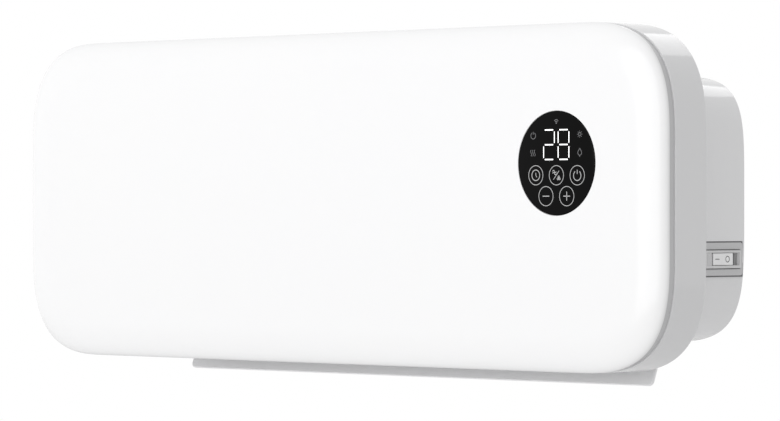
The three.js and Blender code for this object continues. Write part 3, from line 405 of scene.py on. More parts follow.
# %% Outline functions
def soft_outline(left, right, bottom, top, corner_top, corner_bottom, power):
    """Points round a rectangle whose corners are quarters of a superellipse."""
    points = []
    for quarter in range(4):
        reach = corner_top if quarter < 2 else corner_bottom
        centre_x = right - reach if quarter in (0, 3) else left + reach
        centre_z = top - reach if quarter < 2 else bottom + reach
        angle = quarter * pi / 2
        for step in range(CORNER_STEPS + 1):
            t = step / CORNER_STEPS * pi / 2
            along = reach * max(0.0, cos(t)) ** (2 / power)
            up = reach * max(0.0, sin(t)) ** (2 / power)
            points.append(
                (
                    centre_x + along * cos(angle) - up * sin(angle),
                    centre_z + along * sin(angle) + up * cos(angle),
                )
            )
    sides = []
    for index, point in enumerate(points):
        sides.append(point)
        following = points[(index + 1) % len(points)]
        if index % (CORNER_STEPS + 1) == CORNER_STEPS:
            for step in range(1, SIDE_STEPS):
                share = step / SIDE_STEPS
                sides.append(tuple(a + (b - a) * share for a, b in zip(point, following)))
    return sides


def panel_outline(inset):
    half_width = PANEL_HALF_WIDTH - inset
    half_height = PANEL_HALF_HEIGHT - inset
    corner = PANEL_CORNER - inset
    return soft_outline(-half_width, half_width, -half_height, half_height, corner, corner, PANEL_POWER)


def housing_outline(inset):
    return soft_outline(
        housing_low.x + inset,
        housing_high.x - inset,
        housing_low.z + inset,
        housing_high.z - inset,
        HOUSING_CORNER_TOP - inset,
        HOUSING_CORNER_BOTTOM - inset,
        HOUSING_POWER,
    )


def add_rings(bm, stations):
    """Extrudes one outline ring through stations of (outline, inset, y) and returns its ring edges."""
    place = bm.verts.layers.int.get("place") or bm.verts.layers.int.new("place")
    count = len(stations[0][0](0))
    ring = bmesh.ops.create_circle(bm, segments=count, radius=1)["verts"]
    for index, vert in enumerate(ring):
        vert[place] = index
    edges = edges_at(ring)
    rings = []
    for number, (outline, inset, y) in enumerate(stations):
        if number:
            grown = bmesh.ops.extrude_edge_only(bm, edges=edges)["geom"]
            ring = [item for item in grown if isinstance(item, bmesh.types.BMVert)]
            fresh = set(ring)
            edges = [
                item
                for item in grown
                if isinstance(item, bmesh.types.BMEdge) and all(vert in fresh for vert in item.verts)
            ]
        points = outline(inset)
        for vert in ring:
            x, z = points[vert[place]]
            vert.co = Vector((x, y, z)) * MM
        rings.append(edges)
    return rings


def add_hole_ring(bm, centre, radius, y, steps=96):
    """A circle of edges in a plane of constant y, for a round window."""
    place = Matrix.Translation((centre[0] * MM, y * MM, centre[1] * MM))
    turned = place @ Matrix.Rotation(pi / 2, 4, "X")
    return edges_at(bmesh.ops.create_circle(bm, segments=steps, radius=radius * MM, matrix=turned)["verts"])


def close_between(bm, *loops):
    """Fills the flat ground between an outer loop and the holes in it."""
    edges = [edge for loop in loops for edge in loop]
    bmesh.ops.triangle_fill(bm, use_beauty=True, use_dissolve=False, edges=edges)


# %% [markdown]
# ## Front panel
#
# The front is one deep moulding with a wall of 2.4 mm. Its edge falls away in a quarter of an ellipse,
# 26.5 mm wide and 9.3 mm deep, so it runs smoothly into the flat face. A subdivided box would bulge the
# whole face, so the edge is swept with the outline instead, and the flat ground round the window is filled
# last.

# %% Front panel
LENS_SHIFT = Vector((0.38, 0, 0))  # mm to the left of the frame's lens, as photographed
LENS = middle("display_lens") / MM - LENS_SHIFT
LENS_RADIUS = radius_of("display_lens")
WINDOW_GAP = 0.3
WINDOW_RADIUS = LENS_RADIUS + WINDOW_GAP
PILLOW_STEPS = 20
FLAT_MARGIN = 2  # mm of flat ground that belongs to the swept edge


def pillow_stations(inset):
    """Stations of the curved edge, from the rim to the flat face, for the shell's outside or inside."""
    reach = PILLOW_REACH - inset
    depth = RIM_Y - FACE_Y - inset
    stations = []
    for step in range(PILLOW_STEPS + 1):
        t = step / PILLOW_STEPS * pi / 2
        stations.append((panel_outline, inset + reach * (1 - cos(t)), RIM_Y - depth * sin(t)))
    stations.append((panel_outline, PILLOW_REACH + FLAT_MARGIN, RIM_Y - depth))
    return stations


bm = bmesh.new()
rings = add_rings(bm, [*reversed(pillow_stations(WALL)), *pillow_stations(0)])
window_front = add_hole_ring(bm, (LENS.x, LENS.z), WINDOW_RADIUS, FACE_Y)
window_back = add_hole_ring(bm, (LENS.x, LENS.z), WINDOW_RADIUS, FACE_Y + WALL)
close_between(bm, rings[-1], window_front)
close_between(bm, rings[0], window_back)
bmesh.ops.bridge_loops(bm, edges=window_front + window_back)
finish_piece(bm, "front_moulding", ["front_panel"], edge=0.35)

# %% [markdown]
# ## Inset strip
#
# Between the front panel and the band a narrow strip lies 1.2 mm further in, with a fine shadow line on
# each side. It is the edge of the tray that carries the panel, so the whole tray is made.

# %% Panel carrier
STRIP_INSET = 1.2
CUP_GAP = 0.3
CUP_RADIUS = radius_of("display_holder") + CUP_GAP
bm = bmesh.new()
inner_inset = STRIP_INSET + WALL
tray_profile = [
    (panel_outline, inner_inset, BAND_Y - WALL),
    (panel_outline, inner_inset, RIM_Y),
    (panel_outline, STRIP_INSET, RIM_Y),
    (panel_outline, STRIP_INSET, BAND_Y),
]
rings = add_rings(bm, tray_profile)
cup_back = add_hole_ring(bm, (LENS.x, LENS.z), CUP_RADIUS, BAND_Y)
cup_front = add_hole_ring(bm, (LENS.x, LENS.z), CUP_RADIUS, BAND_Y - WALL)
close_between(bm, rings[-1], cup_back)
close_between(bm, rings[0], cup_front)
bmesh.ops.bridge_loops(bm, edges=cup_back + cup_front)
finish_piece(bm, "inset_strip", ["panel_carrier"], edge=0.3)

# %% [markdown]
# ## Side band
#
# The band is a deep ring with a flange behind, where the smaller casing is screwed on. Its rear edge is
# rounded by about a millimetre, and shows as a light line along the step.

# %% Side band
FLANGE_REACH = 6
bm = bmesh.new()
band_profile = [
    (panel_outline, 0, BAND_Y),
    (panel_outline, 0, HOUSING_Y),
    (housing_outline, FLANGE_REACH, HOUSING_Y),
    (housing_outline, FLANGE_REACH, HOUSING_Y - WALL),
    (panel_outline, WALL, HOUSING_Y - WALL),
    (panel_outline, WALL, BAND_Y),
    (panel_outline, 0, BAND_Y),
]
add_rings(bm, band_profile)
finish_piece(bm, "side_ring", ["side_band"], edge=0.7, segments=4)

# %% [markdown]
# ## Rear casing
#
# The casing behind the band holds the fan and the heater. It is swept like the other shells, with its
# rear edge as a quarter round, and both its faces are filled.

# %% Rear casing: the closed shell
REAR_ROUND = 0.7
ROUND_STEPS = 6
flap_low, flap_high = (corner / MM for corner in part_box("swing_flap"))
plate_low, plate_high = (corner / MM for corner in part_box("switch_plate"))
body_low, body_high = (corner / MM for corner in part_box("switch_body"))
rounding = [
    (
        housing_outline,
        REAR_ROUND * (1 - cos(step / ROUND_STEPS * pi / 2)),
        BACK_Y - REAR_ROUND * (1 - sin(step / ROUND_STEPS * pi / 2)),
    )
    for step in range(ROUND_STEPS + 1)
]
casing_profile = [
    (housing_outline, WALL, BACK_Y - WALL),
    (housing_outline, WALL, HOUSING_Y),
    (housing_outline, 0, HOUSING_Y),
    *rounding,
]
bm = bmesh.new()
rings = add_rings(bm, casing_profile)
close_between(bm, rings[0])
close_between(bm, rings[-1])
print("the shell has", len(bm.faces), "faces before its openings are cut")

# %% [markdown]
# Air comes in through a row of slots in the casing's top and leaves through the long mouth in its
# underside. Each opening could be cut by itself, but every cut is a pass over the whole shell, so the slots,
# the mouth, the hook holes, the switch's pocket and the round holes are gathered in one cutter.

# %% Rear casing: slots, mouth and hook holes
SLOT_WIDTH = 4
SLOT_PITCH = 14
SLOT_REAR = -13.5
SLOT_LENGTH = 32
SLOT_DEPTH = 6
SLOT_ROW_START = 14  # from the flap's left end to the first slot
SLOT_ROW_SPARE = 20  # the part of the flap's length that has no slots
PIN_LENGTH = 5
FLAP_LEFT = flap_low.x + PIN_LENGTH
FLAP_RIGHT = flap_high.x - PIN_LENGTH
JOINTS = {joint["name"]: joint for joint in frame["joints"]}
FLAP_AXIS = Vector((0, *JOINTS["flap_swing"]["pos_m"][1:])) / MM
FLAP_LENGTH = 35.7
MOUTH_CLEARANCE = 0.6
MOUTH_BEHIND_AXIS = 4.2
print("flap from x", round(FLAP_LEFT, 1), "to", round(FLAP_RIGHT, 1), "on the axis", FLAP_AXIS)
HOOK_XS = (-150, 150)
HOOK_WIDTH = 22
HOOK_HOLE_LOW = 27
HOOK_HOLE_HIGH = 42
cutter = bmesh.new()
slot_count = int((FLAP_RIGHT - FLAP_LEFT - SLOT_ROW_SPARE) // SLOT_PITCH)
for index in range(slot_count):
    x = FLAP_LEFT + SLOT_ROW_START + index * SLOT_PITCH
    top = housing_high.z
    slot_low = (x, SLOT_REAR - SLOT_LENGTH, top - SLOT_DEPTH)
    add_box(cutter, slot_low, (x + SLOT_WIDTH, SLOT_REAR, top + OVERSHOOT))
mouth_front = FLAP_AXIS.y - FLAP_LENGTH - MOUTH_CLEARANCE
mouth_rear = FLAP_AXIS.y + MOUTH_BEHIND_AXIS + MOUTH_CLEARANCE
floor_z = housing_low.z
add_box(
    cutter,
    (FLAP_LEFT - MOUTH_CLEARANCE, mouth_front, floor_z - OVERSHOOT),
    (FLAP_RIGHT + MOUTH_CLEARANCE, mouth_rear, floor_z + WALL + OVERSHOOT),
)
for x in HOOK_XS:
    hole_low = (x - HOOK_WIDTH / 2, BACK_Y - WALL - OVERSHOOT, HOOK_HOLE_LOW)
    add_box(cutter, hole_low, (x + HOOK_WIDTH / 2, BACK_Y + OVERSHOOT, HOOK_HOLE_HIGH))
print("cut", slot_count, "air slots, the mouth and", len(HOOK_XS), "hook holes")

# %% Rear casing: switch pocket and round holes
POCKET_MARGIN = 0.4
BODY_HOLE_DEPTH = 4  # the body's hole goes that much deeper than the plate's pocket
BODY_HOLE_INSET = Vector((0, 1, 0.5))
GLAND_HOLE = 6.3
GLAND_HOLE_REACH = 8
SCREW_HOLE = 3.4
SCREW_HOLE_REACH = 4


def add_drill(bm, radius, reach, centre, axis, steps):
    """A round bar through a centre, to cut a hole with."""
    add_turned(bm, [(0, -reach), (radius, -reach), (radius, reach), (0, reach)], centre, axis, steps)


add_box(
    cutter,
    (plate_low.x, plate_low.y - POCKET_MARGIN, plate_low.z - POCKET_MARGIN),
    (housing_high.x + OVERSHOOT, plate_high.y + POCKET_MARGIN, plate_high.z + POCKET_MARGIN),
)
add_box(
    cutter,
    (plate_low.x - BODY_HOLE_DEPTH, body_low.y + BODY_HOLE_INSET.y, body_low.z + BODY_HOLE_INSET.z),
    (housing_high.x, body_high.y - BODY_HOLE_INSET.y, body_high.z - BODY_HOLE_INSET.z),
)
gland = middle("cord_gland") / MM
add_drill(cutter, GLAND_HOLE, GLAND_HOLE_REACH, Vector((gland.x, gland.y, floor_z)) * MM, "Z", 48)
SCREW_NODES = [f"case_screw_{number}" for number in (1, 2, 3, 4)]
for screw in SCREW_NODES:
    place = middle(screw)
    centre = Vector((place.x, BACK_Y * MM, place.z))
    add_drill(cutter, SCREW_HOLE, SCREW_HOLE_REACH, centre, "Y", 40)
casing_bm = cut(bm, cutter)
finish_piece(casing_bm, "rear_casing", ["rear_housing"], edge=0.3, segments=2, finish=casing_abs)

# %% Screw tunnels: thin tubes that line the holes down to each screw's head
TUNNEL_OUTSIDE = 5.4
TUNNEL_PAST_HEAD = 3  # mm that each tube goes on past the face of its screw's head
for number, screw in enumerate(SCREW_NODES, 1):
    place = middle(screw)
    head_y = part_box(screw)[1].y
    bm = bmesh.new()
    deep = (head_y - BACK_Y * MM) / MM - TUNNEL_PAST_HEAD
    tube = [
        (SCREW_HOLE, -WALL),
        (SCREW_HOLE, deep),
        (TUNNEL_OUTSIDE, deep),
        (TUNNEL_OUTSIDE, -WALL),
        (SCREW_HOLE, -WALL),
    ]
    add_turned(bm, tube, Vector((place.x, BACK_Y * MM, place.z)), "Y", 40)
    finish_piece(bm, f"screw_tunnel_{number}", [], edge=0, slot="casing_satin", body="casing")

# %% [markdown]
# ## Display
#
# The lens is a disc of black acrylic, set flush into the panel. Its digits shine through from behind and
# its key rings and signs are printed in grey. A printed sign can be drawn by a texture, but a thin mesh
# stays crisp at any distance.

# %% Lens
LENS_EDGE = 0.5
LENS_EDGE_STEPS = 5
lens_low, lens_high = (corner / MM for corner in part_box("display_lens"))
lens_depth = lens_high.y - lens_low.y
lens_profile = [(0, 0), (LENS_RADIUS - LENS_EDGE, 0)]
for step in range(1, LENS_EDGE_STEPS + 1):
    t = step / LENS_EDGE_STEPS * pi / 2
    lens_profile.append((LENS_RADIUS - LENS_EDGE + LENS_EDGE * sin(t), LENS_EDGE * (1 - cos(t))))
lens_profile += [(LENS_RADIUS, lens_depth), (0, lens_depth)]
bm = bmesh.new()
add_turned(bm, lens_profile, Vector((LENS.x, lens_low.y, LENS.z)) * MM, "Y", steps=128)
finish_piece(bm, "black_lens", ["display_lens"], edge=0)

# %% Printed bars and arcs
PRINT_PROUD = 0.05
sign_y = FACE_Y - PRINT_PROUD


def add_bar(bm, start, end, width):
    """A printed bar between two points given from the lens centre."""
    start = Vector((start[0], 0, start[1]))
    end = Vector((end[0], 0, end[1]))
    run = end - start
    turned = Vector((1, 0, 0)).rotation_difference(run.normalized()).to_matrix().to_4x4()
    if run.x < 0 and abs(run.z) < TINY:
        turned = Matrix.Identity(4)
    size = Matrix.Diagonal((run.length * MM, PRINT_PROUD * MM, width * MM, 1))
    centre = Vector((LENS.x, sign_y + PRINT_PROUD / 2, LENS.z)) + (start + end) / 2
    bmesh.ops.create_cube(bm, size=1, matrix=Matrix.Translation(centre * MM) @ turned @ size)


def add_arc(bm, centre, radius, width, first=0, last=360, steps=64):
    """A printed ring or arc, its angles in degrees from the right and turning upwards."""
    middle_point = Vector((LENS.x + centre[0], sign_y, LENS.z + centre[1])) * MM
    inside, outside = radius - width / 2, radius + width / 2
    corners = [(inside, 0), (outside, 0), (outside, PRINT_PROUD), (inside, PRINT_PROUD)]
    turn = Matrix.Rotation(-radians(first), 4, "Y")
    verts = [bm.verts.new(middle_point + turn @ (Vector((r, y, 0)) * MM)) for r, y in corners]
    face = bm.faces.new(verts)
    geom = [face]
    whole = abs(last - first) >= 360
    if whole:  # a whole ring has no ends, so only the outline is spun
        bm.faces.remove(face)
        geom = verts + [bm.edges.get((verts[i], verts[(i + 1) % 4])) for i in range(4)]
    bmesh.ops.spin(
        bm,
        geom=geom,
        cent=middle_point,
        axis=(0, -1, 0),
        angle=radians(last - first),
        steps=steps,
        use_merge=whole,
    )


# %% Signs: the five keys, from the lens centre
KEY_RING = 6.64
KEY_LINE = 0.42
TIMER_RADIUS = 3.65
POWER_RADIUS = 3.4
SIGN_LINE = 0.52
HAND_LINE = 0.48
CROSS_LINE = 0.56
CROSS_REACH = 3.1
KEYS = {
    "timer": (-19.1, -8.2),
    "mode": (0.1, -8.3),
    "power": (19.4, -8.4),
    "minus": (-9.6, -22.6),
    "plus": (9.7, -22.6),
}
signs = bmesh.new()
for x, z in KEYS.values():
    add_arc(signs, (x, z), KEY_RING, KEY_LINE, steps=96)
x, z = KEYS["timer"]
add_arc(signs, (x, z), TIMER_RADIUS, SIGN_LINE)
add_bar(signs, (x, z + 1.7), (x, z - 0.2), HAND_LINE)
add_bar(signs, (x, z), (x + 1.0, z - 1.3), HAND_LINE)
x, z = KEYS["power"]
add_arc(signs, (x, z - 0.2), POWER_RADIUS, SIGN_LINE, 125, 415, steps=56)
add_bar(signs, (x, z + 3.8), (x, z + 0.9), SIGN_LINE)
for name in ("minus", "plus"):
    x, z = KEYS[name]
    add_bar(signs, (x - CROSS_REACH, z), (x + CROSS_REACH, z), CROSS_LINE)
add_bar(signs, (x, z + CROSS_REACH), (x, z - CROSS_REACH), SIGN_LINE)
print("key rings", 2 * KEY_RING, "mm across on the line's middle")

# %% Signs: the mode key, a slash between two plain air waves and a fan of three petals
WAVE_RADIUS = 0.8
WAVE_LINE = 0.4
PETAL_RADIUS = 0.62
PETAL_REACH = 0.95
x, z = KEYS["mode"]
add_bar(signs, (x - 2.7, z - 2.9), (x + 2.5, z + 3.1), KEY_LINE)
for rise in (1.2, 2.6):
    add_arc(signs, (x - 2.6, z + rise), WAVE_RADIUS, WAVE_LINE, 0, 180, steps=12)
    add_arc(signs, (x - 1.0, z + rise), WAVE_RADIUS, WAVE_LINE, 180, 360, steps=12)
for turn in (90, 210, 330):
    across, up = PETAL_REACH * cos(radians(turn)), PETAL_REACH * sin(radians(turn))
    add_arc(signs, (x + 2.2 + across, z - 2.0 + up), PETAL_RADIUS, KEY_LINE, steps=20)
print("the signs have", len(signs.faces), "faces")

# %% Signs: small indicators round the digits, dimmer than the keys
DIM_LINE = 0.42
LEFT_COLUMN = -21.5
RIGHT_COLUMN = 21.7
HEAT_COLUMN = -21.8
SUN_LINE = 0.4
RAY_LINE = 0.34
RAY_FROM = 1.7
RAY_TO = 2.4
HEAT_WAVE = [(0, 9.3), (-0.5, 8.2), (0.5, 6.1), (0, 4.9)]
dim = bmesh.new()
# Radio waves over a dot, above the digits.
for radius in (2.5, 1.4):
    add_arc(dim, (0, 27.3), radius, DIM_LINE, 40, 140, steps=16)
add_arc(dim, (0, 27.5), 0.3, 0.5, steps=12)
# A power sign at the upper left, and a sun at the upper right.
add_arc(dim, (LEFT_COLUMN, 19.0), 2.2, DIM_LINE, 120, 420, steps=32)
add_bar(dim, (LEFT_COLUMN, 21.7), (LEFT_COLUMN, 19.8), DIM_LINE)
sun = Vector((RIGHT_COLUMN, 19.6))
add_arc(dim, sun, 1.1, SUN_LINE, steps=24)
for turn in range(0, 360, 45):
    ray = Vector((cos(radians(turn)), sin(radians(turn))))
    add_bar(dim, sun + ray * RAY_FROM, sun + ray * RAY_TO, RAY_LINE)
# Three heat waves at the lower left, and a drop on a stem at the lower right.
for shift in (-1.7, 0, 1.7):
    wave = [(HEAT_COLUMN + shift + across, up) for across, up in HEAT_WAVE]
    for start, end in zip(wave, wave[1:]):
        add_bar(dim, start, end, WAVE_LINE)
add_arc(dim, (RIGHT_COLUMN, 7.0), 1.75, DIM_LINE, -215, 35, steps=32)
add_bar(dim, (20.25, 8.0), (RIGHT_COLUMN, 10.0), DIM_LINE)
add_bar(dim, (23.15, 8.0), (RIGHT_COLUMN, 10.0), DIM_LINE)
add_bar(dim, (RIGHT_COLUMN, 5.4), (RIGHT_COLUMN, 4.2), DIM_LINE)
print("the indicators have", len(dim.faces), "faces")

# %% [markdown]
# The digits are lit segments. A weak emission on white gives them their even glow, without lighting up
# the room, and they are set a hair above the lens so that they stay crisp.


# %% Digits
def glowing(name, colour, strength):
    material, tree = new_material(name)
    shader = node(
        tree,
        "ShaderNodeBsdfPrincipled",
        Base_Color=linear(colour),
        Roughness=0.5,
        Emission_Color=linear(colour),
        Emission_Strength=strength,
    )
    node(tree, "ShaderNodeOutputMaterial", Surface=shader.outputs[0])
    return material


lit_segment = glowing("lit_segment", "#FFFFFF", 0.9)
# The key signs and the indicators are print, not lamps: their weak emission is a painted glow.
print_grey_painted_glow = glowing("print_grey_painted_glow", "#B4B4B4", 0.12)
dim_print_painted_glow = glowing("dim_print_painted_glow", "#6E6E70", 0.06)

SEGMENT_LINE = 0.8
UPRIGHT_LINE = 0.64
DIGIT_WIDTH = 10.0
DIGIT_HEIGHT = 20.3
DIGIT_TOP = 22.85
DIGIT_LEFTS = (-11.78, 1.72)
SEGMENT_ENDS = {
    "a": ((0, 0), (1, 0)),
    "b": ((1, 0), (1, 1)),
    "c": ((1, 1), (1, 2)),
    "d": ((0, 2), (1, 2)),
    "e": ((0, 1), (0, 2)),
    "f": ((0, 0), (0, 1)),
    "g": ((0, 1), (1, 1)),
}
SEGMENT_TRIM = 1.15


def add_digit(bm, left, segments):
    for name in segments:
        points = []
        for across, down in SEGMENT_ENDS[name]:
            points.append(Vector((left + across * DIGIT_WIDTH, DIGIT_TOP - down * DIGIT_HEIGHT / 2)))
        trim = (points[1] - points[0]).normalized() * SEGMENT_TRIM
        add_bar(bm, points[0] + trim, points[1] - trim, UPRIGHT_LINE if name in "bcef" else SEGMENT_LINE)


digits = bmesh.new()
add_digit(digits, DIGIT_LEFTS[0], "abged")
add_digit(digits, DIGIT_LEFTS[1], "abcdefg")
finish_piece(digits, "lit_digits", [], edge=0, finish=lit_segment, slot="led_face", body="casing")
finish_piece(signs, "key_signs", [], edge=0, finish=print_grey_painted_glow, slot="led_face", body="casing")
finish_piece(dim, "indicator_signs", [], edge=0, finish=dim_print_painted_glow, slot="led_face", body="casing")

# %% [markdown]
# ## Outlet flap
#
# The flap is a long leaf with rounded corners on its free edge, carried by an ear and a pin at each end.
# It is easiest to model shut, lying level, and then to turn the whole bmesh about its hinge.

# %% Outlet flap
FLAP_DROP = 3.1
FLAP_THICKNESS = 2.2
FLAP_OPEN = 68.5
FLAP_CORNER = 3.5
bm = bmesh.new()
leaf_low = (FLAP_LEFT, FLAP_AXIS.y - FLAP_LENGTH, FLAP_AXIS.z - FLAP_DROP - FLAP_THICKNESS / 2)
leaf_high = (FLAP_RIGHT, FLAP_AXIS.y, FLAP_AXIS.z - FLAP_DROP + FLAP_THICKNESS / 2)
leaf = add_box(bm, leaf_low, leaf_high)
free_corners = [
    edge
    for edge in edges_at(leaf)
    if all(abs(vert.co.y - leaf_low[1] * MM) < TINY for vert in edge.verts)
    and abs(edge.verts[0].co.x - edge.verts[1].co.x) < TINY
]
round_off(bm, free_corners, FLAP_CORNER, segments=8)
print("the leaf is", round(leaf_high[0] - leaf_low[0], 1), "by", FLAP_LENGTH, "mm")

# %% Outlet flap: ears and pins, then the turn to its open place
EAR = 3
EAR_RADIUS = 2.6
EAR_GAP = 0.05
PIN_RADIUS = 1.3
for x, outward in ((FLAP_LEFT, -1), (FLAP_RIGHT, 1)):
    inner = x - outward * EAR
    low_x, high_x = min(x, inner), max(x, inner)
    add_box(
        bm,
        (low_x, FLAP_AXIS.y - EAR_RADIUS, FLAP_AXIS.z - FLAP_DROP + FLAP_THICKNESS / 2),
        (high_x, FLAP_AXIS.y - EAR_GAP, FLAP_AXIS.z),
    )
    pin_end = EAR + PIN_LENGTH
    hub = [(0, 0), (EAR_RADIUS, 0), (EAR_RADIUS, EAR), (PIN_RADIUS, EAR), (PIN_RADIUS, pin_end), (0, pin_end)]
    profile = [(radius, height * outward) for radius, height in hub]
    add_turned(bm, profile, Vector((inner, FLAP_AXIS.y, FLAP_AXIS.z)) * MM, "X", 32)
bmesh.ops.rotate(
    bm,
    verts=bm.verts,
    cent=FLAP_AXIS * MM,
    matrix=Matrix.Rotation(radians(FLAP_OPEN), 3, "X"),
)
finish_piece(bm, "air_flap", ["swing_flap"], edge=0.4, finish=flap_abs)

# %% [markdown]
# ## Mains switch
#
# A long bezel lies on a plate in a shallow pocket of the casing's side, with a dark groove all round. In
# the middle of the bezel's well sits the paddle. It is pressed at its I end, so its O end stands up.

# %% Switch plate
PLATE_TRIM = Vector((0, 0.1, 0.5))  # taken off each edge for the groove round the plate
PLATE_CORNER = 2
bm = bmesh.new()
plate_verts = add_box(bm, plate_low + PLATE_TRIM, plate_high - PLATE_TRIM)
round_off(bm, edges_along_x(plate_verts), PLATE_CORNER, segments=6)
BEZEL_GROOVE = 0.6
BEZEL_TRIM = Vector((0, 0, 0.5))  # the bezel is that much lower than the body's box, as photographed
cutter = bmesh.new()
add_box(
    cutter,
    (plate_low.x - OVERSHOOT, body_low.y - BEZEL_GROOVE, body_low.z + BEZEL_TRIM.z / 2 - BEZEL_GROOVE),
    (plate_high.x + OVERSHOOT, body_high.y + BEZEL_GROOVE, body_high.z - BEZEL_TRIM.z + BEZEL_GROOVE),
)
finish_piece(cut(bm, cutter), "switch_surround", ["switch_plate"], edge=0.3)

# %% [markdown]
# A groove that is left empty shows black, because no light finds its way in. The grooves on the heater look
# dark grey, so a flat grey ring lies a little below the face in each of them. It is no seal: its grey is
# painted shade, standing for the shade in the groove.

# %% Switch grooves: rings of painted shade
SHADE_RING_WIDTH = 0.9
SHADE_RING_SUNK = 0.7
INNER_SHADE_RING_WIDTH = 1.7
INNER_SHADE_RING_SUNK = 0.3
IN_PLATE = Vector((0, 1.2, 0.9))  # from the body's box to the hole of the inner ring of painted shade


def cut_shade_ring(low, high, width, top):
    """A flat ring of painted shade: the box between two corners, grown by a width, without the box."""
    grow = Vector((0, width, width))
    outer, hole = bmesh.new(), bmesh.new()
    add_box(outer, Vector((plate_low.x, low.y, low.z)) - grow, Vector((top, high.y, high.z)) + grow)
    add_box(hole, (plate_low.x - OVERSHOOT, low.y, low.z), (top + OVERSHOOT, high.y, high.z))
    return cut(outer, hole)


# Painted shade: a grey, dull ring with hardly a gleam, standing for the shade in a groove.
groove_shade_grey = moulded("groove_shade_grey", "#7C7C7E", "#787879", 0.8, 1.0, 0.01, shine=0.2)
shade_ring = cut_shade_ring(plate_low + PLATE_TRIM, plate_high - PLATE_TRIM, SHADE_RING_WIDTH, plate_high.x - SHADE_RING_SUNK)
finish_piece(shade_ring, "plate_groove_shade", [], edge=0, finish=groove_shade_grey, slot="dark_plastic", body="casing")
shade_ring = cut_shade_ring(body_low + IN_PLATE, body_high - IN_PLATE, INNER_SHADE_RING_WIDTH, plate_high.x - INNER_SHADE_RING_SUNK)
finish_piece(shade_ring, "bezel_groove_shade", [], edge=0, finish=groove_shade_grey, slot="dark_plastic", body="casing")

# %% [markdown]
# The switch's body is one moulding, but its bezel, its recess and the part behind the plate are made as three
# pieces with their own greys; the recess's darker grey is painted shade. One bay for the paddle is cut out of
# them.

# %% Switch body: the paddle's bay
WELL_RIM = 1.6
WELL_DEPTH = 2.75
WELL_FRONT_DEPTH = 0.7
WELL_SLOPE = 2.35
BAY_FRONT = 10.47  # from the pivot
BAY_DEPTH = 8  # below the pivot
PADDLE_HALF_HEIGHT = 4.05
PADDLE_GAP = 0.3
PIVOT = Vector(JOINTS["rocker_press"]["pos_m"]) / MM


def add_slab(bm, outline, half_height):
    """An outline of (x, y) points, in millimetres, drawn out to both sides of z = 0."""
    ring = [bm.verts.new(Vector((x, y, -half_height)) * MM) for x, y in outline]
    grown = bmesh.ops.extrude_face_region(bm, geom=[bm.faces.new(ring)])["geom"]
    risen = [item for item in grown if isinstance(item, bmesh.types.BMVert)]
    bmesh.ops.translate(bm, verts=risen, vec=(0, 0, 2 * half_height * MM))
    return ring + risen


well_front = body_low.y + WELL_RIM
well_rear = body_high.y - WELL_RIM
bay_rear = well_rear - WELL_SLOPE
bay_outline = [
    (body_high.x + OVERSHOOT, well_front),
    (body_high.x, well_front),
    (body_high.x - WELL_FRONT_DEPTH, PIVOT.y - BAY_FRONT),
    (PIVOT.x - BAY_DEPTH, PIVOT.y - BAY_FRONT),
    (PIVOT.x - BAY_DEPTH, bay_rear),
    (body_high.x - WELL_DEPTH, bay_rear),
    (body_high.x, well_rear),
    (body_high.x + OVERSHOOT, well_rear),
]


def cut_bay(bm):
    """Cuts the paddle's recess out of a piece of the switch."""
    bay = bmesh.new()
    add_slab(bay, bay_outline, PADDLE_HALF_HEIGHT + PADDLE_GAP)
    bmesh.ops.translate(bay, verts=bay.verts, vec=(0, 0, PIVOT.z * MM))
    return cut(bm, bay)


print("the bay goes", round(body_high.x - PIVOT.x + BAY_DEPTH, 1), "mm deep below the bezel's face")

# %% Switch body: bezel
BEZEL_CORNER = 1.4
bm = bmesh.new()
bezel_base = plate_high.x
rim_verts = add_box(bm, (bezel_base, body_low.y, body_low.z + BEZEL_TRIM.z / 2), body_high - BEZEL_TRIM)
round_off(bm, edges_along_x(rim_verts), BEZEL_CORNER, segments=5)
opening = bmesh.new()
add_box(
    opening,
    (bezel_base - OVERSHOOT, well_front, PIVOT.z - PADDLE_HALF_HEIGHT - PADDLE_GAP),
    (body_high.x + OVERSHOOT, well_rear, PIVOT.z + PADDLE_HALF_HEIGHT + PADDLE_GAP),
)
bezel = cut(bm, opening)
finish_piece(bezel, "switch_bezel", [], edge=0.3, finish=bezel_abs, slot="casing_satin", body="casing")

# %% Switch body: recess
RECESS_GAP = 0.29  # a hair less than the bezel's gap, so that the recess lies inside it
RECESS_HAIR = 0.02
RECESS_SUNK = 0.05
RECESS_ROOT = 1  # below the plate's face
# The recess is a darker grey than the bezel: painted shade.
bm = bmesh.new()
add_box(
    bm,
    (bezel_base - RECESS_ROOT, well_front + RECESS_HAIR, PIVOT.z - PADDLE_HALF_HEIGHT - RECESS_GAP),
    (body_high.x - RECESS_SUNK, well_rear - RECESS_HAIR, PIVOT.z + PADDLE_HALF_HEIGHT + RECESS_GAP),
)
finish_piece(cut_bay(bm), "switch_recess", [], edge=0, finish=recess_painted_shade, slot="trim_grey", body="casing")

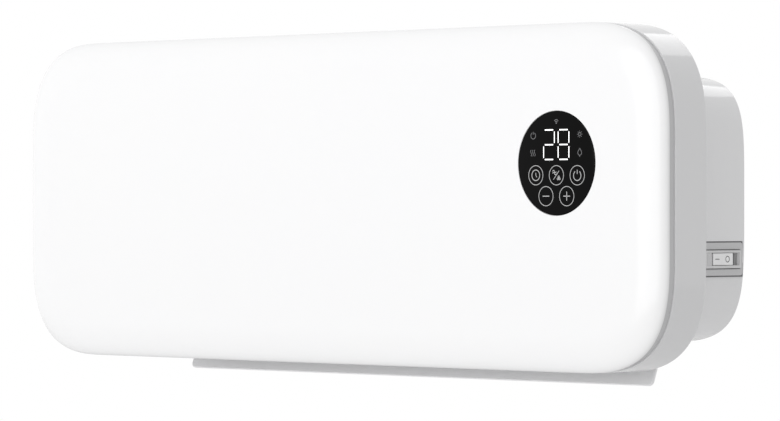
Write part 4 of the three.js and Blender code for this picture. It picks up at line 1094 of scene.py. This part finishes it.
# %% Switch body: shell behind the plate, with its two tabs
SHELL_IN_Y = 1.4
SHELL_IN_Z = 0.9
SHELL_SUNK = 0.05
TAB_LENGTH = 6
TAB_REACH = 6.2  # a little way into the shell
TAB_SPREAD = 8
TAB_HALF_THICKNESS = 0.4
TAB_HALF_HEIGHT = 3
bm = bmesh.new()
add_box(
    bm,
    (body_low.x + TAB_LENGTH, body_low.y + SHELL_IN_Y, body_low.z + SHELL_IN_Z),
    (bezel_base - SHELL_SUNK, body_high.y - SHELL_IN_Y, body_high.z - SHELL_IN_Z),
)
for end in (-1, 1):
    tab_y = (body_low.y + body_high.y) / 2 + end * TAB_SPREAD
    tab_low = (body_low.x, tab_y - TAB_HALF_THICKNESS, PIVOT.z - TAB_HALF_HEIGHT)
    add_box(bm, tab_low, (body_low.x + TAB_REACH, tab_y + TAB_HALF_THICKNESS, PIVOT.z + TAB_HALF_HEIGHT))
finish_piece(cut_bay(bm), "switch_shell", ["switch_body"], edge=0.2, finish=satin_grey_abs)

# %% [markdown]
# The paddle's two halves lean from the middle, so that either end can stand level with the bezel. Its side
# view is drawn once about the pivot, drawn out to both sides and tilted as a whole.

# %% Rocker paddle
PADDLE_HALF_LENGTH = 9.2
PADDLE_RISE = 4.9
PADDLE_TILT = 7  # degrees
PADDLE_SKIRT = 1.2
PADDLE_DRAFT = 0.6
PADDLE_FOOT = 5.5  # below the pivot
PADDLE_FOOT_HALF_LENGTH = 3
end_rise = PADDLE_RISE + PADDLE_HALF_LENGTH * sin(radians(PADDLE_TILT)) / cos(radians(PADDLE_TILT))
paddle_profile = [
    (PADDLE_RISE, 0),
    (end_rise, PADDLE_HALF_LENGTH),
    (PADDLE_SKIRT, PADDLE_HALF_LENGTH - PADDLE_DRAFT),
    (-PADDLE_FOOT, PADDLE_FOOT_HALF_LENGTH),
    (-PADDLE_FOOT, -PADDLE_FOOT_HALF_LENGTH),
    (PADDLE_SKIRT, PADDLE_DRAFT - PADDLE_HALF_LENGTH),
    (end_rise, -PADDLE_HALF_LENGTH),
]
tilt = Matrix.Rotation(radians(-PADDLE_TILT), 3, "Z")
bm = bmesh.new()
add_slab(bm, paddle_profile, PADDLE_HALF_HEIGHT)
bmesh.ops.rotate(bm, verts=bm.verts, cent=(0, 0, 0), matrix=tilt)
bmesh.ops.translate(bm, verts=bm.verts, vec=PIVOT * MM)
finish_piece(bm, "paddle", ["rocker_paddle"], edge=0.45, segments=4)

# %% Paddle marks
MARK_PROUD = 0.06
BAR_FROM = -7.0
BAR_TO = -2.7
BAR_HALF_LINE = 0.28
RING_INSIDE = 1.3
RING_OUTSIDE = 1.72
RING_STRETCH = 1.3
RING_PLACE = 4.6
marks = bmesh.new()


def add_paddle_mark(bm, verts, half):
    """Moves flat marks, drawn in the plane x = 0, onto one half of the paddle's face."""
    lean = Matrix.Rotation(radians(-half * PADDLE_TILT), 3, "Z")
    bmesh.ops.rotate(bm, verts=verts, cent=(0, 0, 0), matrix=lean)
    bmesh.ops.translate(bm, verts=verts, vec=Vector((PADDLE_RISE, 0, 0)) * MM)
    bmesh.ops.rotate(bm, verts=verts, cent=(0, 0, 0), matrix=tilt)
    bmesh.ops.translate(bm, verts=verts, vec=PIVOT * MM)


on_mark = add_box(marks, (-MARK_PROUD, BAR_FROM, -BAR_HALF_LINE), (MARK_PROUD, BAR_TO, BAR_HALF_LINE))
add_paddle_mark(marks, on_mark, -1)
before = set(marks.verts)
ring = [
    (RING_INSIDE, -MARK_PROUD),
    (RING_OUTSIDE, -MARK_PROUD),
    (RING_OUTSIDE, MARK_PROUD),
    (RING_INSIDE, MARK_PROUD),
    (RING_INSIDE, -MARK_PROUD),
]
add_turned(marks, ring, Vector((0, 0, 0)), "X", 32)
off_mark = [vert for vert in marks.verts if vert not in before]
bmesh.ops.scale(marks, verts=off_mark, vec=(1, 1, RING_STRETCH))
bmesh.ops.translate(marks, verts=off_mark, vec=(0, RING_PLACE * MM, 0))
add_paddle_mark(marks, off_mark, 1)
# Pad-printed ink: thin, grey and half dull.
mark_ink = moulded("mark_ink", "#6F7072", "#6A6B6D", 0.5, 1.0, 0.002)
finish_piece(marks, "paddle_marks", [], edge=0, finish=mark_ink, slot="dark_plastic", body="paddle")

# %% [markdown]
# ## Small round pieces behind
#
# Screws, feet and the cord gland are turned shapes, so each is a profile spun about its own axis.

# %% Case screws, with a cross of two slots in each head
CROSS_SLOTS = (Vector((0.45, 1.3, 1.8)), Vector((1.8, 1.25, 0.45)))  # half sizes of the boxes to cut
SCREW_TIP = 1
HEAD_RADIUS = 3.1
HEAD_DEPTH = 2.4
THREAD_RADIUS = 1.5
for screw in SCREW_NODES:
    low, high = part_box(screw)
    place = middle(screw)
    length = (high.y - low.y) / MM
    head = [(0, 0), (2.5, 0), (2.95, -0.35), (HEAD_RADIUS, -1.0), (HEAD_RADIUS, -HEAD_DEPTH)]
    thread = [(THREAD_RADIUS, -HEAD_DEPTH), (THREAD_RADIUS, -length + SCREW_TIP), (0, -length)]
    bm = bmesh.new()
    add_turned(bm, head + thread, Vector((place.x, high.y, place.z)), "Y", 32)
    at = Vector((place.x, high.y, place.z)) / MM
    for slot in CROSS_SLOTS:
        cutter = bmesh.new()
        add_box(cutter, at - slot, at + slot)
        bm = cut(bm, cutter)
    finish_piece(bm, screw + "_turned", [screw], edge=0)

# %% Feet
FOOT_ROUND = 2
FOOT_STEPS = 8
for foot in ("foot_left", "foot_right"):
    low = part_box(foot)[0]
    place = middle(foot)
    radius = radius_of(foot)
    dome = [(0, 0), (radius, 0)]
    for step in range(FOOT_STEPS + 1):
        t = step / FOOT_STEPS * pi / 2
        dome.append((radius - FOOT_ROUND + FOOT_ROUND * cos(t), FOOT_ROUND + FOOT_ROUND * sin(t)))
    dome.append((0, 2 * FOOT_ROUND))
    bm = bmesh.new()
    add_turned(bm, dome, Vector((place.x, low.y, place.z)), "Y", 48)
    finish_piece(bm, foot + "_bumper", [foot], edge=0)

# %% Cord gland
GLAND_BORE = 3.6
GLAND_NECK = 6
GLAND_COLLAR = 9
COLLAR_TOP = 8
COLLAR_THICKNESS = 3
COLLAR_CHAMFER = 0.4
NECK_CHAMFER = 0.6
NECK_CHAMFER_HEIGHT = 0.8
low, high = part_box("cord_gland")
place = middle("cord_gland")
top = (high.z - low.z) / MM
gland_profile = [
    (GLAND_BORE, 0),
    (GLAND_NECK - NECK_CHAMFER, 0),
    (GLAND_NECK, NECK_CHAMFER_HEIGHT),
    (GLAND_NECK, COLLAR_TOP - COLLAR_THICKNESS),
    (GLAND_COLLAR - COLLAR_CHAMFER, COLLAR_TOP - COLLAR_THICKNESS),
    (GLAND_COLLAR, COLLAR_TOP - COLLAR_THICKNESS + COLLAR_CHAMFER),
    (GLAND_COLLAR, COLLAR_TOP),
    (GLAND_NECK, COLLAR_TOP),
    (GLAND_NECK, top),
    (GLAND_BORE, top),
    (GLAND_BORE, 0),
]
bm = bmesh.new()
add_turned(bm, gland_profile, Vector((place.x, place.y, low.z)), "Z", 48)
finish_piece(bm, "gland", ["cord_gland"], edge=0)


# %% [markdown]
# The pieces that show less keep the shape that the frame gives them. A merged copy of each gets a fine
# rounded edge, so that bent steel and moulded ribs catch the light as they would.


# %% Refined copies
COPY_MERGE_DISTANCE = 0.005 * MM
FLAT_ANGLE = 1  # degrees between two faces, below which they are one


def refined_copy(name):
    bm = bmesh.new()
    bm.from_mesh(frame["nodes"][name].data)
    bmesh.ops.remove_doubles(bm, verts=bm.verts, dist=COPY_MERGE_DISTANCE)
    bmesh.ops.dissolve_limit(bm, angle_limit=radians(FLAT_ANGLE), verts=bm.verts, edges=bm.edges)
    finish_piece(bm, name + "_finished", [name], edge=0.25, segments=2)


REFINED = ["wall_bracket", "outlet_grille", "duct_end_left", "duct_end_right", "flap_bush", "flap_motor"]
for name in REFINED:
    refined_copy(name)

# %% [markdown]
# ## Floor, backdrop and light
#
# The heater stands before plain white. Two wide, soft lights reach it, one from the front and one from
# above behind. A strong light would clip the white shell, so the white ground comes from what the camera
# sees, not from more light: rays from the camera, and those for gloss and glass, find white, and all others
# find a plain, softer sky.

# %% World
SKY_LEVEL = 0.62
world = bpy.data.worlds.new("studio")
world.use_nodes = True
scene.world = world
tree = world.node_tree
tree.nodes.clear()
path = node(tree, "ShaderNodeLightPath").outputs
larger = {"operation": "MAXIMUM"}
seen = node(tree, "ShaderNodeMath", larger, _0=path["Is Camera Ray"], _1=path["Is Glossy Ray"])
seen = node(tree, "ShaderNodeMath", larger, _0=seen.outputs[0], _1=path["Is Transmission Ray"])
sky = node(tree, "ShaderNodeBackground", Color=linear("#FFFFFF"), Strength=SKY_LEVEL)
white = node(tree, "ShaderNodeBackground", Color=linear("#FFFFFF"), Strength=1.0)
mixed = node(tree, "ShaderNodeMixShader", _0=seen.outputs[0], _1=sky.outputs[0], _2=white.outputs[0])
node(tree, "ShaderNodeOutputWorld", Surface=mixed.outputs[0])
print("the sky's light is", SKY_LEVEL, "of white")

# %% Floor
FLOOR_Z = -0.6  # m
FLOOR_REACH = 3.0  # m to each side
floor_bm = bmesh.new()
floor_place = Matrix.Translation((0, 0, FLOOR_Z))
bmesh.ops.create_grid(floor_bm, x_segments=1, y_segments=1, size=FLOOR_REACH, matrix=floor_place)
floor_mesh = bpy.data.meshes.new("floor")
floor_bm.to_mesh(floor_mesh)
floor_bm.free()
floor = bpy.data.objects.new("floor", floor_mesh)
scene.collection.objects.link(floor)
pale_floor, tree = new_material("pale_floor")
shader = node(tree, "ShaderNodeBsdfPrincipled", Base_Color=linear("#E4E4E4"), Roughness=0.9)
node(tree, "ShaderNodeOutputMaterial", Surface=shader.outputs[0])
floor_mesh.materials.append(pale_floor)

# %% Lights
LIGHTS = {
    # name: (the way to the light, its strength, its width in degrees)
    "front_softbox": ((-0.15, -1.0, 0.12), 1.6, 50),
    "rear_softbox": ((-0.15, 0.6, 0.78), 0.65, 45),
}
for name, (way, strength, width) in LIGHTS.items():
    light_data = bpy.data.lights.new(name, "SUN")
    light_data.energy = strength
    light_data.angle = radians(width)
    light = bpy.data.objects.new(name, light_data)
    light.rotation_euler = Vector(way).to_track_quat("Z", "Y").to_euler()
    scene.collection.objects.link(light)
    print(name, "shines at", strength, "from", way)

# %% Colour handling
scene.view_settings.view_transform = "Standard"
